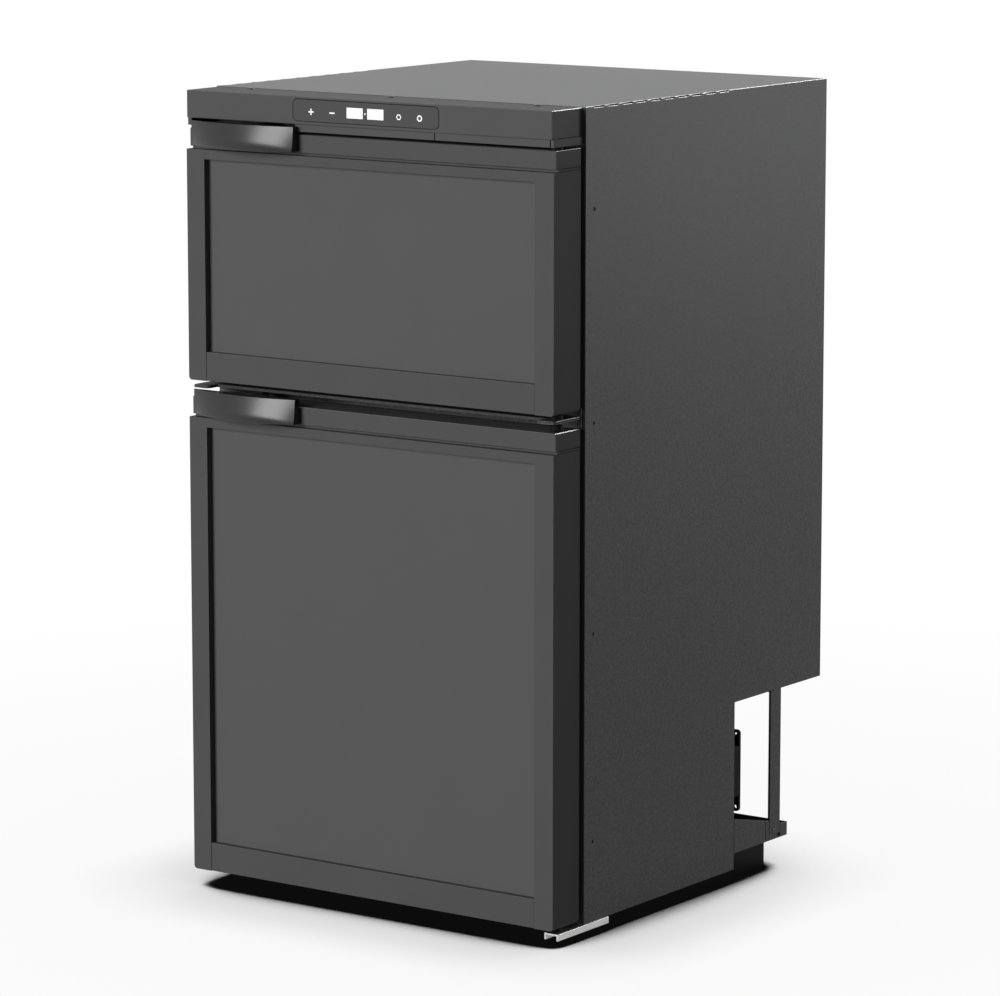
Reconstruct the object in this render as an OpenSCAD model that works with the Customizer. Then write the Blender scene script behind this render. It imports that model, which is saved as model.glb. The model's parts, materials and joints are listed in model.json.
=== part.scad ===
// Two-door compressor fridge freezer for a camper or boat, built as its separate pieces.
// X runs to the right, Y to the back, Z up. The origin is on the floor, in the middle of the plan.
// Inside the modules Y is measured from the casing's front plane and Z from the casing's bottom edge.

/* [Casing] */
// Width over the side panels
casing_w = 475; // [470:1:490]
// Depth of the steel casing
casing_d = 463; // [455:1:480]
// Height of the steel casing
casing_h = 845; // [835:1:870]
// Thickness of the casing sheet
sheet_t = 1; // [0.8:0.1:1.2]
// Depth of the open machine bay at the back
bay_depth = 175; // [172:1:178]
// Height of the open machine bay
bay_h = 185; // [180:1:190]
// Height of the skid rails below the casing
foot_h = 16; // [12:1:24]
// Thickness of the frame that the door seals meet
frame_t = 3; // [2:0.5:4]

/* [Casing details] */
// Radius of the mounting holes along each side's front edge
side_hole_r = 2; // [1.5:0.1:2.5]
// Distance from the front edge to the mounting holes
side_hole_inset = 15.5; // [10:0.5:20]
// Height of the lowest mounting hole
side_hole_first = 85; // [60:1:110]
// Height from one mounting hole to the next
side_hole_pitch = 218.7; // [200:0.1:225]
// Number of mounting holes on each side
side_hole_count = 4; // [2:1:4]
// Number of seam slots along each top edge
slot_count = 10; // [6:1:12]
// Distance from the front edge to the first seam slot
slot_first = 14; // [10:1:20]
// Distance from one seam slot to the next
slot_pitch = 26; // [24:1:30]
// Length of a seam slot
slot_l = 19; // [12:1:22]
// Depth of a seam slot into the sheet's edge
slot_w = 1.6; // [1:0.1:2]
// Width of a skid rail
skid_w = 22; // [16:1:30]
// Distance from the casing's side to a skid rail
skid_inset = 20; // [10:1:26]
// Distance from the casing's front to a skid rail
skid_front = 14; // [8:1:30]

/* [Cabins] */
// Thickness of the foam in each side wall
side_foam = 37; // [34:1:38]
// Thickness of the plastic liners
liner_t = 2; // [1.5:0.5:2.5]
// Thickness of the wall above the freezer
ceiling_wall = 63; // [61:1:66]
// Height inside the freezer
freezer_h = 221; // [215:1:225]
// Thickness of the wall between the two cabins
middle_wall = 66; // [64:1:68]
// Thickness of the wall below the fridge
floor_wall = 42; // [40:1:44]
// Thickness of the wall behind the cabins
back_wall = 55; // [50:1:60]
// Thickness of the foam around the machine bay
bay_foam = 37; // [34:1:38]

/* [Doors] */
// Distance from the casing's side to a door's side
door_inset = 2.1; // [2:0.1:4.5]
// Distance from the casing's front to a door's front face
door_front = 53.5; // [52.5:0.1:55]
// Distance from the casing's front to a door's back
door_back = 6; // [5:0.5:7]
// Height of the gap between the two doors
door_gap = 17.6; // [17:0.1:18.2]
// Height of the lower door's bottom above the casing's bottom
door_bottom = 3.5; // [3:0.1:4]
// Width of the side rails on a door's front
rail_w = 23.4; // [20:0.1:26]
// Height of the rail above the decor panel
top_rail_h = 10; // [8:0.5:12]
// Depth of the decor panel behind the rails
panel_recess = 8; // [6:0.5:9]
// Thickness of the decor panel
panel_t = 3; // [2:0.5:4]
// Depth of the slot that holds each edge of the decor panel
panel_slot = 4; // [3:0.5:5]
// Height of the retaining strip below the decor panel
strip_h = 31; // [28:0.5:34]
// Gap around the retaining strip
strip_gap = 0.4; // [0.2:0.1:0.6]
// Wall thickness of the door's plastic pieces
door_t = 3; // [2.5:0.5:3.5]
// Height of the cap on top of a door
cap_h = 19; // [18:0.5:21]
// Height of the groove below the cap
groove_h = 3; // [2:0.5:4]
// Depth of the groove below the cap
groove_d = 6.5; // [4:0.5:8]
// How far the cap's front lies behind the door's front
cap_setback = 2.5; // [2:0.5:3]
// Radius of the door frame's lower corners
door_corner_r = 4; // [2:0.5:5]
// How far a door's inner skin reaches into the cabin
plug_depth = 16; // [14:1:18]
// Gap between that inner skin's step and the cabin walls
plug_gap = 11.5; // [11:0.5:13]
// Width of the door seal
seal_w = 14; // [12:0.5:15]
// Distance from the cabin's edge to the door seal
seal_inset = 4; // [3:0.5:5]
// Gap left between the door seal and the frame that it meets
seal_gap = 0.3; // [0.2:0.1:0.5]

/* [Hinges] */
// Distance of the hinge line from the casing's side
hinge_inset = 9.5; // [8.5:0.5:10.5]
// Distance of the hinge line in front of the casing
hinge_y = 38; // [36:0.5:40]
// Radius of the hinge pins
pin_r = 3; // [2.5:0.1:3]
// Radial clearance of the pins in their bushes
pin_clearance = 0.05; // [0.02:0.01:0.1]
// Depth that a pin reaches into a door
pin_reach = 11; // [9:0.5:12]
// Wall thickness of a bush
bush_wall = 2; // [1.5:0.1:2.2]
// How far a bush's collar stands out past its barrel
bush_rim = 1.6; // [1:0.1:2]
// Gap between a bush's collar and the bracket
bush_gap = 0.3; // [0.2:0.1:0.5]
// Thickness of the middle hinge bar
bar_t = 3; // [3:0.5:5]
// Distance that the middle hinge bar reaches in front of the casing
bar_reach = 35; // [24:1:38]
// Distance that the bar's end fingers reach in front of the casing
finger_reach = 50; // [48:1:51]
// Width of the bar's end fingers
finger_w = 22; // [20:1:24]
// Width of the lower hinge channel
channel_w = 17; // [16:0.5:18]
// Length of the lower hinge channel
channel_l = 93; // [85:1:100]
// Height of the lower hinge channel
channel_h = 7; // [6:0.5:8]
// Thickness of the hinge plates
plate_t = 2; // [1.5:0.5:2.5]

/* [Fascia] */
// Distance from the casing's side to the fascia's end
fascia_inset = 4; // [3:0.5:6]
// Height of the control fascia
fascia_h = 28.9; // [27:0.1:30]
// Distance that the fascia reaches in front of the casing
fascia_reach = 55; // [54:0.5:56]
// How far the fascia's top lies below the casing's top
fascia_drop = 0.5; // [0.5:0.5:1.5]
// Height of the trim strip below the fascia
trim_h = 8.1; // [7:0.1:9]
// How far the trim strip lies behind the fascia
trim_setback = 3; // [2:0.5:4]
// Gap between the trim strip and the upper door
trim_gap = 3; // [2.5:0.5:4]
// Distance of the trim strip's seam from the centre plane
trim_seam = 86.8; // [60:1:120]
// How far the trim strip starts before the upper handle's inner end
trim_lap = 4; // [0:0.5:6]
// Wall thickness of the fascia
fascia_t = 2.5; // [2:0.5:3]
// Width of the touch panel
touch_w = 187.5; // [180:0.5:195]
// Height of the touch panel
touch_h = 23.7; // [22:0.1:24]
// Corner radius of the touch panel
touch_r = 6; // [4:0.5:8]
// Height and width of one lit display block
block_w = 20.8; // [16:0.1:24]
// Height of one lit display block
block_h = 11; // [8:0.5:13]
// Distance from the panel's centre to each display block's centre
block_x = 13.2; // [12.5:0.1:16]
// Size of the touch symbols
symbol_s = 6.6; // [5:0.1:8]
// Line width of the touch symbols
symbol_t = 1.5; // [1:0.1:2]

/* [Handles] */
// Length of a handle
handle_w = 139.2; // [132:0.1:146]
// Distance from the casing's side to a handle's outer end
handle_inset = 10.5; // [8:0.5:12]
// Height of a handle
handle_h = 27.5; // [26:0.5:29]
// How far a handle's top stands above its door
handle_rise = 8.5; // [8:0.5:9]
// Radius of the handle's bowed front
handle_bow_r = 216; // [200:1:240]
// Distance from the casing's front to the bow's foremost point
handle_reach = 70; // [69:0.5:72]
// Distance from a handle's outer end to the bow's foremost point
handle_bow_offset = 77; // [70:1:84]
// Radius of the lower lip's bow
lip_bow_r = 130; // [120:1:150]
// How far the lower lip stands out past the bow
lip_out = 10; // [6:0.5:11]
// Height of the lower lip's straight edge
lip_edge_h = 3; // [2:0.5:5]
// Height of the lower lip's slope
lip_h = 24; // [16:1:24]
// Wall thickness of a handle
handle_t = 3; // [2.5:0.5:3.5]
// Radius of a handle's pivot stubs
stub_r = 2; // [1.6:0.1:2.2]
// Distance of the handle's pivot line in front of the casing
stub_y = 57; // [56.8:0.1:57.4]
// Height of the handle's pivot line above the door's top
stub_rise = 1; // [0.8:0.1:1.2]
// Radius of the ears that carry the pivot stubs
ear_r = 3.6; // [3.2:0.1:3.7]
// Thickness of the ears
ear_w = 4; // [3:0.5:5]
// Distance from the bow's foremost point to the far face of each ear
ear_span = 50; // [46:1:52]
// Width of the latch arm behind a handle
latch_w = 16; // [12:1:20]
// Distance from the bow's foremost point out to the latch arm
latch_offset = 9.5; // [0:0.5:20]
// Gap between the latch and its strike
latch_gap = 0.3; // [0.2:0.1:0.5]

/* [Inside] */
// Thickness of the glass shelves
glass_t = 4; // [3:0.5:5]
// Heights of the two fridge shelves above the cabin floor
shelf_heights = [243, 343];
// Height of the crisper cover above the cabin floor
cover_height = 138; // [134:1:140]
// Distance from the front frame to the shelves' front edge
shelf_front = 96; // [94:1:110]
// Distance from the front frame to the crisper cover's front edge
cover_front = 34; // [28:1:40]
// Gap between a shelf and the cabin walls
shelf_gap = 0.5; // [0.3:0.1:1]
// Depth of the ledges that carry the shelves
ledge_w = 8; // [6:1:10]
// Height of the ledges that carry the shelves
ledge_h = 5; // [4:1:7]
// Distance from the cabin's wall to the crisper drawer
crisper_side_gap = 32.5; // [30:0.5:36]
// Height of the crisper drawer
crisper_h = 120; // [110:1:122]
// Wall thickness of the crisper drawer
crisper_t = 2; // [1.5:0.5:2.5]
// Distance from the front frame to the crisper drawer
crisper_front = 24; // [20:1:28]
// Height of the drawer's bottom above the cabin floor
crisper_lift = 4; // [3:1:6]
// Width of the drawer's side flanges
flange_w = 10; // [8:1:12]
// Gap between the drawer's flanges and their runners
runner_gap = 0.3; // [0.2:0.1:0.5]
// Wall heights of the door bins, from the lowest up
bin_walls = [60, 42, 36];
// Height of the lowest door bin above the cabin floor
low_bin_height = 153; // [146:1:160]
// Distance from the cabin ceiling down to the highest door bin
top_bin_drop = 75; // [70:1:90]
// Depth of the door bins
bin_depth = 72; // [60:1:75]
// Distance from the edge of the door's inner skin to a door bin
bin_side_gap = 8; // [6:1:14]
// Wall thickness of the door bins
bin_t = 2; // [1.5:0.5:2.5]
// Thickness of the freezer's cooling plate
cold_t = 1.6; // [1:0.2:2]
// Gap between the freezer's cooling plate and the liner
cold_gap = 6; // [4:1:8]
// Distance from the front frame to the wire rack
rack_front = 50; // [40:1:60]
// Height of the wire rack above the freezer's floor
rack_height = 112; // [90:1:130]
// Radius of the rack's wires
wire_r = 1.6; // [1.2:0.1:2]
// Number of long wires in the rack
wire_count = 15; // [9:1:17]
// Distance from the cabin's wall to the fridge's cooling plate
plate_side_gap = 32.5; // [26:0.5:40]
// Distance from the cabin ceiling to the fridge's cooling plate
plate_top_gap = 26; // [16:1:36]
// Distance from the step up to the fridge's cooling plate
plate_bottom_gap = 80; // [60:1:90]

/* [Machine bay] */
// Height of the compressor tray above the casing's bottom
tray_z = 18; // [17:1:20]
// Thickness of the tray and post steel
tray_t = 1.5; // [1:0.5:2]
// Depth of the tray behind the bay's wall
tray_d = 108.5; // [107:0.5:112]
// Height of the tray's rear lip
tray_lip = 15; // [12:1:20]
// Height of the tray's side wall at its front end
gusset_h = 38; // [34:1:44]
// Width of the two posts at the back
post_w = 21; // [18:1:24]
// Thickness of the two posts
post_t = 2.6; // [2:0.2:3]
// Distance from the bay's wall to the posts
post_y = 72.5; // [70:0.5:74]
// Radius of the compressor's shell
comp_r = 48; // [44:1:49]
// Height of the compressor's shell
comp_h = 118; // [110:1:126]
// Distance from the casing's side to the compressor's centre
comp_inset = 109.5; // [104:0.5:112]
// Height of the compressor's rubber mounts
mount_h = 8; // [6:1:10]
// Width, depth and height of the power controller
controller_size = [34, 68, 84];
// Width of the condenser's fin block
cond_w = 116; // [100:1:118]
// Depth of the condenser's fin block
cond_d = 34; // [30:1:38]
// Height of the condenser's fin block
cond_h = 108; // [100:1:112]
// Number of fins in the condenser
fin_count = 22; // [12:1:26]
// Size of the square fan frame
fan_w = 92; // [88:1:92]
// Depth of the fan frame
fan_d = 25; // [20:1:26]
// Distance from the casing's side to the fan frame
fan_inset = 58.5; // [56:0.5:68]
// Width of the plate that joins the fan to the condenser
shroud_w = 130; // [124:1:134]
// Radius of the fan's blade tips
blade_tip_r = 41; // [38:0.5:42]
// Number of fan blades
blade_count = 7; // [5:1:9]
// Radius of the refrigerant pipes
pipe_r = 3; // [2:0.5:3]

/* [Hidden] */
$fn = 48;
half_w = casing_w/2;
inner_half = half_w - sheet_t;
bay_y = casing_d - bay_depth;
door_w = casing_w - 2*door_inset;
fascia_w = casing_w - 2*fascia_inset;
hinge_x = half_w - hinge_inset;
handle_out = half_w - handle_inset;
handle_in = handle_out - handle_w;
handle_bow_x = handle_out - handle_bow_offset;
latch_x = handle_bow_x + latch_offset;
comp_x = half_w - comp_inset;
fan_right = half_w - fan_inset;
cabin_half = inner_half - side_foam - liner_t;
freezer_ceiling = casing_h - ceiling_wall;
freezer_floor = freezer_ceiling - freezer_h;
fridge_ceiling = freezer_floor - middle_wall;
fridge_floor = floor_wall;
cabin_back = casing_d - back_wall;
low_back = bay_y - sheet_t - bay_foam - liner_t;
step_z = bay_h + sheet_t + bay_foam + liner_t;
door_split = (freezer_floor + fridge_ceiling)/2;
fascia_top = casing_h - fascia_drop;
fascia_bottom = fascia_top - fascia_h;
trim_bottom = fascia_bottom - trim_h;
freezer_door_top = trim_bottom - trim_gap;
freezer_door_bottom = door_split + door_gap/2;
fridge_door_top = door_split - door_gap/2;
door_half = door_w/2;
panel_face = door_front - panel_recess;
web_front = panel_face - panel_t;
cap_front = door_front - cap_setback;
bush_r = pin_r + pin_clearance + bush_wall;
bar_rise = 0.2;
bar_z = door_split + bar_rise;
bracket_z = trim_bottom;
channel_out = 1.5;
channel_x = half_w + channel_out - channel_w;
front_reach = handle_reach + lip_out;
tray_back = bay_y + tray_d;
cut = 1;
bond = 0.01;
fit_gap = 0.3;
head_r = 4.5;
bend_swell = 0.3;
cover_z = fridge_floor + cover_height;

// Moves a piece from the casing's own measure to the part's origin on the floor.
module placed() {
    translate([0, -(casing_d - front_reach)/2, foot_h]) children();
}

// A block between two opposite corners.
module block(low, high) {
    translate(low) cube(high - low);
}

// An outline in Y and Z, drawn out along X from x0 to x1.
module along_x(x0, x1) {
    translate([x0, 0, 0]) rotate([90, 0, 90]) linear_extrude(x1 - x0) children();
}

// An outline in X and Z, drawn out along Y from y0 to y1.
module along_y(y0, y1) {
    translate([0, y1, 0]) rotate([90, 0, 0]) linear_extrude(y1 - y0) children();
}

// A flat rectangle with four round corners.
module round_rect(low, high, r) {
    translate([low.x + r, low.y]) square([high.x - low.x - 2*r, high.y - low.y]);
    translate([low.x, low.y + r]) square([high.x - low.x, high.y - low.y - 2*r]);
    for (x = [low.x + r, high.x - r], y = [low.y + r, high.y - r]) translate([x, y]) circle(r);
}

// A round rod between two points.
module rod(from, to, r) {
    run = to - from;
    length = norm(run);
    turn = [0, acos(run.z/length), atan2(run.y, run.x)];
    translate(from) rotate(turn) cylinder(h = length, r = r);
}

// Round rods from point to point with a slightly thicker ball at each bend.
module tube_run(points, r) {
    for (i = [1:len(points) - 1]) rod(points[i - 1], points[i], r);
    for (i = [1:len(points) - 2]) translate(points[i]) sphere(r + bend_swell);
}

// CASING

// The side's outline: a tall plate with the machine bay cut out of its lower back corner.
module side_outline() {
    polygon([
        [0, 0], [bay_y, 0], [bay_y, bay_h], [casing_d, bay_h], [casing_d, casing_h], [0, casing_h]
    ]);
}

module seam_slots(x0, x1, z0, z1) {
    for (i = [0:slot_count - 1]) {
        y = slot_first + i*slot_pitch;
        block([x0, y, z0], [x1, y + slot_l, z1]);
    }
}

module side_panel() {
    color("dimgray") difference() {
        along_x(inner_half, half_w) side_outline();
        for (i = [0:side_hole_count - 1])
            translate([inner_half - cut, side_hole_inset, side_hole_first + i*side_hole_pitch])
                rotate([0, 90, 0]) cylinder(h = sheet_t + 2*cut, r = side_hole_r);
        seam_slots(inner_half - cut, half_w + cut, casing_h - slot_w, casing_h + cut);
    }
}

module right_side_panel() {
    side_panel();
}

module left_side_panel() {
    mirror([1, 0, 0]) side_panel();
}

module top_panel() {
    color("gray") difference() {
        block([-inner_half, 0, casing_h - sheet_t], [inner_half, casing_d, casing_h]);
        for (s = [0, 1]) mirror([s, 0, 0])
            seam_slots(inner_half - slot_w, inner_half + cut, casing_h - 2*sheet_t, casing_h + cut);
    }
}

module back_panel() {
    color("dimgray")
        block([-inner_half, casing_d - sheet_t, bay_h], [inner_half, casing_d, casing_h - sheet_t]);
}

// One bent sheet: the bay's ceiling and its front wall.
module bay_panel() {
    color("dimgray") {
        block([-inner_half, bay_y - sheet_t, bay_h], [inner_half, casing_d - sheet_t, bay_h + sheet_t]);
        block([-inner_half, bay_y - sheet_t, 0], [inner_half, bay_y, bay_h]);
    }
}

module bottom_pan() {
    color("dimgray") block([-inner_half, 0, 0], [inner_half, bay_y - sheet_t, sheet_t]);
}

module front_frame() {
    color("#303032") difference() {
        block([-inner_half, 0, sheet_t], [inner_half, frame_t, casing_h - sheet_t]);
        block([-cabin_half, -cut, freezer_floor], [cabin_half, frame_t + cut, freezer_ceiling]);
        block([-cabin_half, -cut, fridge_floor], [cabin_half, frame_t + cut, fridge_ceiling]);
    }
}

// The fridge cabin's side outline, with the step over the machine bay; grow adds a wall around it.
module fridge_outline(grow) {
    polygon([
        [frame_t, fridge_floor - grow], [low_back + grow, fridge_floor - grow],
        [low_back + grow, step_z - grow], [cabin_back + grow, step_z - grow],
        [cabin_back + grow, fridge_ceiling + grow], [frame_t, fridge_ceiling + grow]
    ]);
}

module freezer_space(grow) {
    block([-cabin_half - grow, frame_t, freezer_floor - grow],
        [cabin_half + grow, cabin_back + grow, freezer_ceiling + grow]);
}

module foam_insulation() {
    color("khaki") difference() {
        along_x(-inner_half, inner_half) polygon([
            [frame_t, sheet_t], [bay_y - sheet_t, sheet_t], [bay_y - sheet_t, bay_h + sheet_t],
            [casing_d - sheet_t, bay_h + sheet_t], [casing_d - sheet_t, casing_h - sheet_t],
            [frame_t, casing_h - sheet_t]
        ]);
        freezer_space(liner_t);
        along_x(-cabin_half - liner_t, cabin_half + liner_t) fridge_outline(liner_t);
        for (s = [0, 1]) mirror([s, 0, 0])
            seam_slots(inner_half - 2*slot_w, inner_half + cut, casing_h - 4*sheet_t, casing_h);
    }
}

module freezer_liner() {
    color("whitesmoke") difference() {
        freezer_space(liner_t);
        block([-cabin_half, frame_t - cut, freezer_floor], [cabin_half, cabin_back, freezer_ceiling]);
    }
}

function shelf_z(i) = fridge_floor + shelf_heights[i];

module fridge_liner() {
    color("whitesmoke") {
        difference() {
            along_x(-cabin_half - liner_t, cabin_half + liner_t) fridge_outline(liner_t);
            along_x(-cabin_half, cabin_half) polygon([
                [frame_t - cut, fridge_floor], [low_back, fridge_floor], [low_back, step_z],
                [cabin_back, step_z], [cabin_back, fridge_ceiling], [frame_t - cut, fridge_ceiling]
            ]);
        }
        for (s = [0, 1]) mirror([s, 0, 0]) {
            for (i = [0:len(shelf_heights) - 1])
                block([cabin_half - ledge_w, shelf_front, shelf_z(i) - ledge_h],
                    [cabin_half + liner_t/2, cabin_back, shelf_z(i)]);
            block([cabin_half - ledge_w, cover_front, cover_z - ledge_h],
                [cabin_half + liner_t/2, low_back, cover_z]);
        }
    }
}

skid_x1 = half_w - skid_inset;
skid_x0 = skid_x1 - skid_w;
skid_rear_inset = 15;
skid_rear = tray_back - skid_rear_inset;

module skid_rails() {
    color("#1c1c1c") for (s = [0, 1]) mirror([s, 0, 0]) along_x(skid_x0, skid_x1) polygon([
        [skid_front, -foot_h], [skid_rear, -foot_h], [skid_rear, tray_z], [bay_y + fit_gap, tray_z],
        [bay_y + fit_gap, 0], [skid_front, 0]
    ]);
}

// FASCIA

touch_x = 1;
touch_rise = 14.8;
touch_z = fascia_bottom + touch_rise;

module touch_outline(gap) {
    round_rect([touch_x - touch_w/2 + gap, touch_z - touch_h/2 + gap],
        [touch_x + touch_w/2 - gap, touch_z + touch_h/2 - gap], touch_r - gap);
}

// A hollow cover, open at its back and below.
module control_fascia() {
    color("#3a3a3c") difference() {
        block([-fascia_w/2, -fascia_reach, fascia_bottom], [fascia_w/2, 0, fascia_top]);
        block([-fascia_w/2 + fascia_t, -fascia_reach + fascia_t, fascia_bottom - cut],
            [fascia_w/2 - fascia_t, cut, fascia_top - fascia_t]);
        along_y(-fascia_reach - cut, -fascia_reach + fascia_t + cut) touch_outline(0);
    }
}

trim_front = fascia_reach - trim_setback;
trim_step = 1;
trim_half = fascia_w/2 + trim_step;
trim_t = 6;
trim_side_t = 1.5;
trim_joint = 1;
trim_end_w = 4.8;
trim_end = trim_half - trim_end_w;
trim_start = -handle_in - trim_lap;

// The strip below the fascia: its left end, a long piece that starts beside the handle,
// the hinge's cover and the right end.
module fascia_trim() {
    color("#353537") {
        block([-trim_half, -trim_front, trim_bottom], [-trim_end, -trim_front + trim_t, fascia_bottom]);
        block([trim_start, -trim_front, trim_bottom],
            [trim_seam - trim_joint/2, -trim_front + trim_t, fascia_bottom]);
        block([-trim_half, -trim_front, trim_bottom], [-trim_half + trim_side_t, -seal_gap, fascia_bottom]);
        block([trim_seam + trim_joint/2, -trim_front, trim_bottom],
            [trim_end - trim_joint/2, -trim_front + trim_t, fascia_bottom]);
        block([trim_end + trim_joint/2, -trim_front, trim_bottom],
            [trim_half, -trim_front + trim_t, fascia_bottom]);
        block([trim_half - trim_side_t, -trim_front, trim_bottom], [trim_half, -seal_gap, fascia_bottom]);
    }
}

symbol_depth = 0.5;
symbol_drop = 1.2;
symbol_z = touch_z - symbol_drop;
point_r = 0.9;
plus_x = touch_x - 69.6;
minus_x = touch_x - 42.4;
gear_x = touch_x + 43;
power_x = touch_x + 69.3;

// The lit marks as flat outlines: plus, minus, two display blocks, a point and two rings.
module symbol_outlines() {
    translate([plus_x, symbol_z]) square([symbol_s, symbol_t], center = true);
    translate([plus_x, symbol_z]) square([symbol_t, symbol_s], center = true);
    translate([minus_x, symbol_z]) square([symbol_s, symbol_t], center = true);
    for (s = [-1, 1]) translate([touch_x + s*block_x, touch_z]) square([block_w, block_h], center = true);
    translate([touch_x, touch_z]) circle(point_r);
    translate([gear_x, symbol_z]) difference() {
        circle(symbol_s/2, $fn = 6);
        circle(symbol_s/2 - symbol_t);
    }
    translate([power_x, symbol_z]) difference() {
        circle(symbol_s/2);
        circle(symbol_s/2 - symbol_t);
    }
}

module touch_panel() {
    color("#28282a") difference() {
        along_y(-fascia_reach, -fascia_reach + fascia_t) touch_outline(strip_gap);
        along_y(-fascia_reach - cut, -fascia_reach + symbol_depth) symbol_outlines();
    }
}

module display_symbols() {
    color("white") along_y(-fascia_reach, -fascia_reach + symbol_depth) symbol_outlines();
}

board_t = 1.6;
board_margin = 4;
board_rise = 1;
relay = [24, 9, 12];
plug = [26, 7, 10];
relay_x = touch_x - 48;
plug_x = touch_x + 53;

// The circuit board behind the touch panel, with its connector and relay.
module control_board() {
    y0 = -fascia_reach + fascia_t;
    color("darkgreen") block([touch_x - touch_w/2 - board_margin, y0, fascia_bottom + board_rise],
        [touch_x + touch_w/2 + board_margin, y0 + board_t, fascia_top - fascia_t - fit_gap]);
    color("black") translate([relay_x, y0 + board_t + relay.y/2, touch_z]) cube(relay, center = true);
    color("white") translate([plug_x, y0 + board_t + plug.y/2, touch_z]) cube(plug, center = true);
}

// HINGES AND STRIKES

pin_hole_r = pin_r + 0.02;
bracket_inner = 14;
bracket_x0 = hinge_x - bracket_inner;
bracket_x1 = trim_half - trim_side_t - fit_gap;
flange_x1 = fascia_w/2 - fascia_t - fit_gap;
bracket_t = 3;
bracket_reach = trim_front - trim_t - fit_gap;
flange_t = 2;
flange_h = 26;
channel_setback = 4.5;
channel_front = door_front - channel_setback;

module hinge_hole(z0, z1) {
    translate([hinge_x, -hinge_y, z0]) cylinder(h = z1 - z0, r = pin_hole_r);
}

// The upper angle behind the trim strip and the bright channel under the right front corner.
module hinge_brackets() {
    color("silver") difference() {
        union() {
            block([bracket_x0, -bracket_reach, bracket_z], [bracket_x1, 0, bracket_z + bracket_t]);
            block([bracket_x0, -flange_t, bracket_z], [flange_x1, 0, bracket_z + flange_h]);
        }
        hinge_hole(bracket_z - cut, bracket_z + bracket_t + cut);
    }
    color("silver") difference() {
        block([channel_x, -channel_front, -channel_h],
            [channel_x + channel_w, -channel_front + channel_l, 0]);
        block([channel_x + plate_t, -channel_front - cut, -channel_h - cut],
            [channel_x + channel_w - plate_t, -channel_front + channel_l + cut, -plate_t]);
        hinge_hole(-channel_h, cut);
    }
}

bar_inset = 3.5;
bar_half = half_w - bar_inset;
bar_flange_h = 20;
hinge_finger_r = 2;
free_finger_r = 5;

module finger(x0, r) {
    translate([0, 0, bar_z]) linear_extrude(bar_t)
        round_rect([x0, -finger_reach], [x0 + finger_w, -bar_reach + 2*r], r);
}

// A full-width bar between the doors, with a finger at each end and a flange on the front frame.
module middle_hinge_bar() {
    color("#4a4a4c") difference() {
        union() {
            block([-bar_half, -bar_reach, bar_z], [bar_half, 0, bar_z + bar_t]);
            block([-bar_half, -flange_t, bar_z + bar_t/2 - bar_flange_h/2],
                [bar_half, 0, bar_z + bar_t/2 + bar_flange_h/2]);
            finger(bar_half - finger_w, hinge_finger_r);
            finger(-bar_half, free_finger_r);
        }
        hinge_hole(bar_z - cut, bar_z + bar_t + cut);
    }
}

pin_head_t = 2;
low_head_r = pin_r + 0.4;

module hinge_pin(z0, z1, head_z, head) {
    translate([hinge_x, -hinge_y, z0]) cylinder(h = z1 - z0, r = pin_r);
    translate([hinge_x, -hinge_y, head_z]) cylinder(h = pin_head_t, r = head);
}

// Three pins: down from the upper angle, through the bar, and up from the lower channel.
module hinge_pins() {
    color("lightgray") {
        hinge_pin(freezer_door_top - pin_reach, bracket_z + bracket_t + pin_head_t,
            bracket_z + bracket_t, head_r);
        hinge_pin(fridge_door_top - pin_reach, freezer_door_bottom + pin_reach, bar_z - pin_head_t, head_r);
        hinge_pin(-plate_t - pin_head_t, door_bottom + pin_reach, -plate_t - pin_head_t, low_head_r);
    }
}

strike_t = 2;
strike_margin = 4;
strike_reach = 40;
strike_flange = 14;
strike_rise = 2.6;
freezer_strike_z = freezer_door_top + strike_rise;
fridge_strike_z = bar_z - strike_t;

// An angle on the front frame for the upper door and a plate under the bar for the lower one.
module latch_strikes() {
    x0 = -latch_x - latch_w/2 - strike_margin;
    x1 = -latch_x + latch_w/2 + strike_margin;
    color("silver") {
        block([x0, -strike_reach, freezer_strike_z], [x1, 0, freezer_strike_z + strike_t]);
        block([x0, -flange_t, freezer_strike_z], [x1, 0, freezer_strike_z + strike_flange]);
        block([x0, -strike_reach, fridge_strike_z], [x1, -flange_t, bar_z]);
    }
}

// DOORS

function door_z0(i) = i == 0 ? freezer_door_bottom : door_bottom;
function door_z1(i) = i == 0 ? freezer_door_top : fridge_door_top;
function frame_z1(i) = door_z1(i) - cap_h - groove_h;
function open_z0(i) = i == 0 ? freezer_floor : fridge_floor;
function open_z1(i) = i == 0 ? freezer_ceiling : fridge_ceiling;
panel_half = door_half - rail_w;
boss_wall = 4;
boss_x = hinge_x - bush_r - boss_wall;
boss_y0 = -hinge_y - bush_r - 0.5;
boss_y1 = -hinge_y + bush_r + boss_wall;
boss_h = pin_reach + boss_wall;
cap_left = -door_half + 2.7;
cap_right = door_half + 0.5;

module frame_outline(i) {
    round_rect([-door_half, door_z0(i)], [door_half, frame_z1(i)], door_corner_r);
    block_top = door_corner_r + 1;
    translate([-door_half, frame_z1(i) - block_top]) square([door_w, block_top]);
}

// The corner block that holds the lower bush.
module hinge_boss(i) {
    block([boss_x, boss_y0, door_z0(i) + door_t/2], [door_half - door_t/2, boss_y1, door_z0(i) + boss_h]);
}

module bush_hole(i) {
    translate([hinge_x, -hinge_y, door_z0(i) - cut]) cylinder(h = pin_reach + cut + 1, r = bush_r);
}

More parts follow.
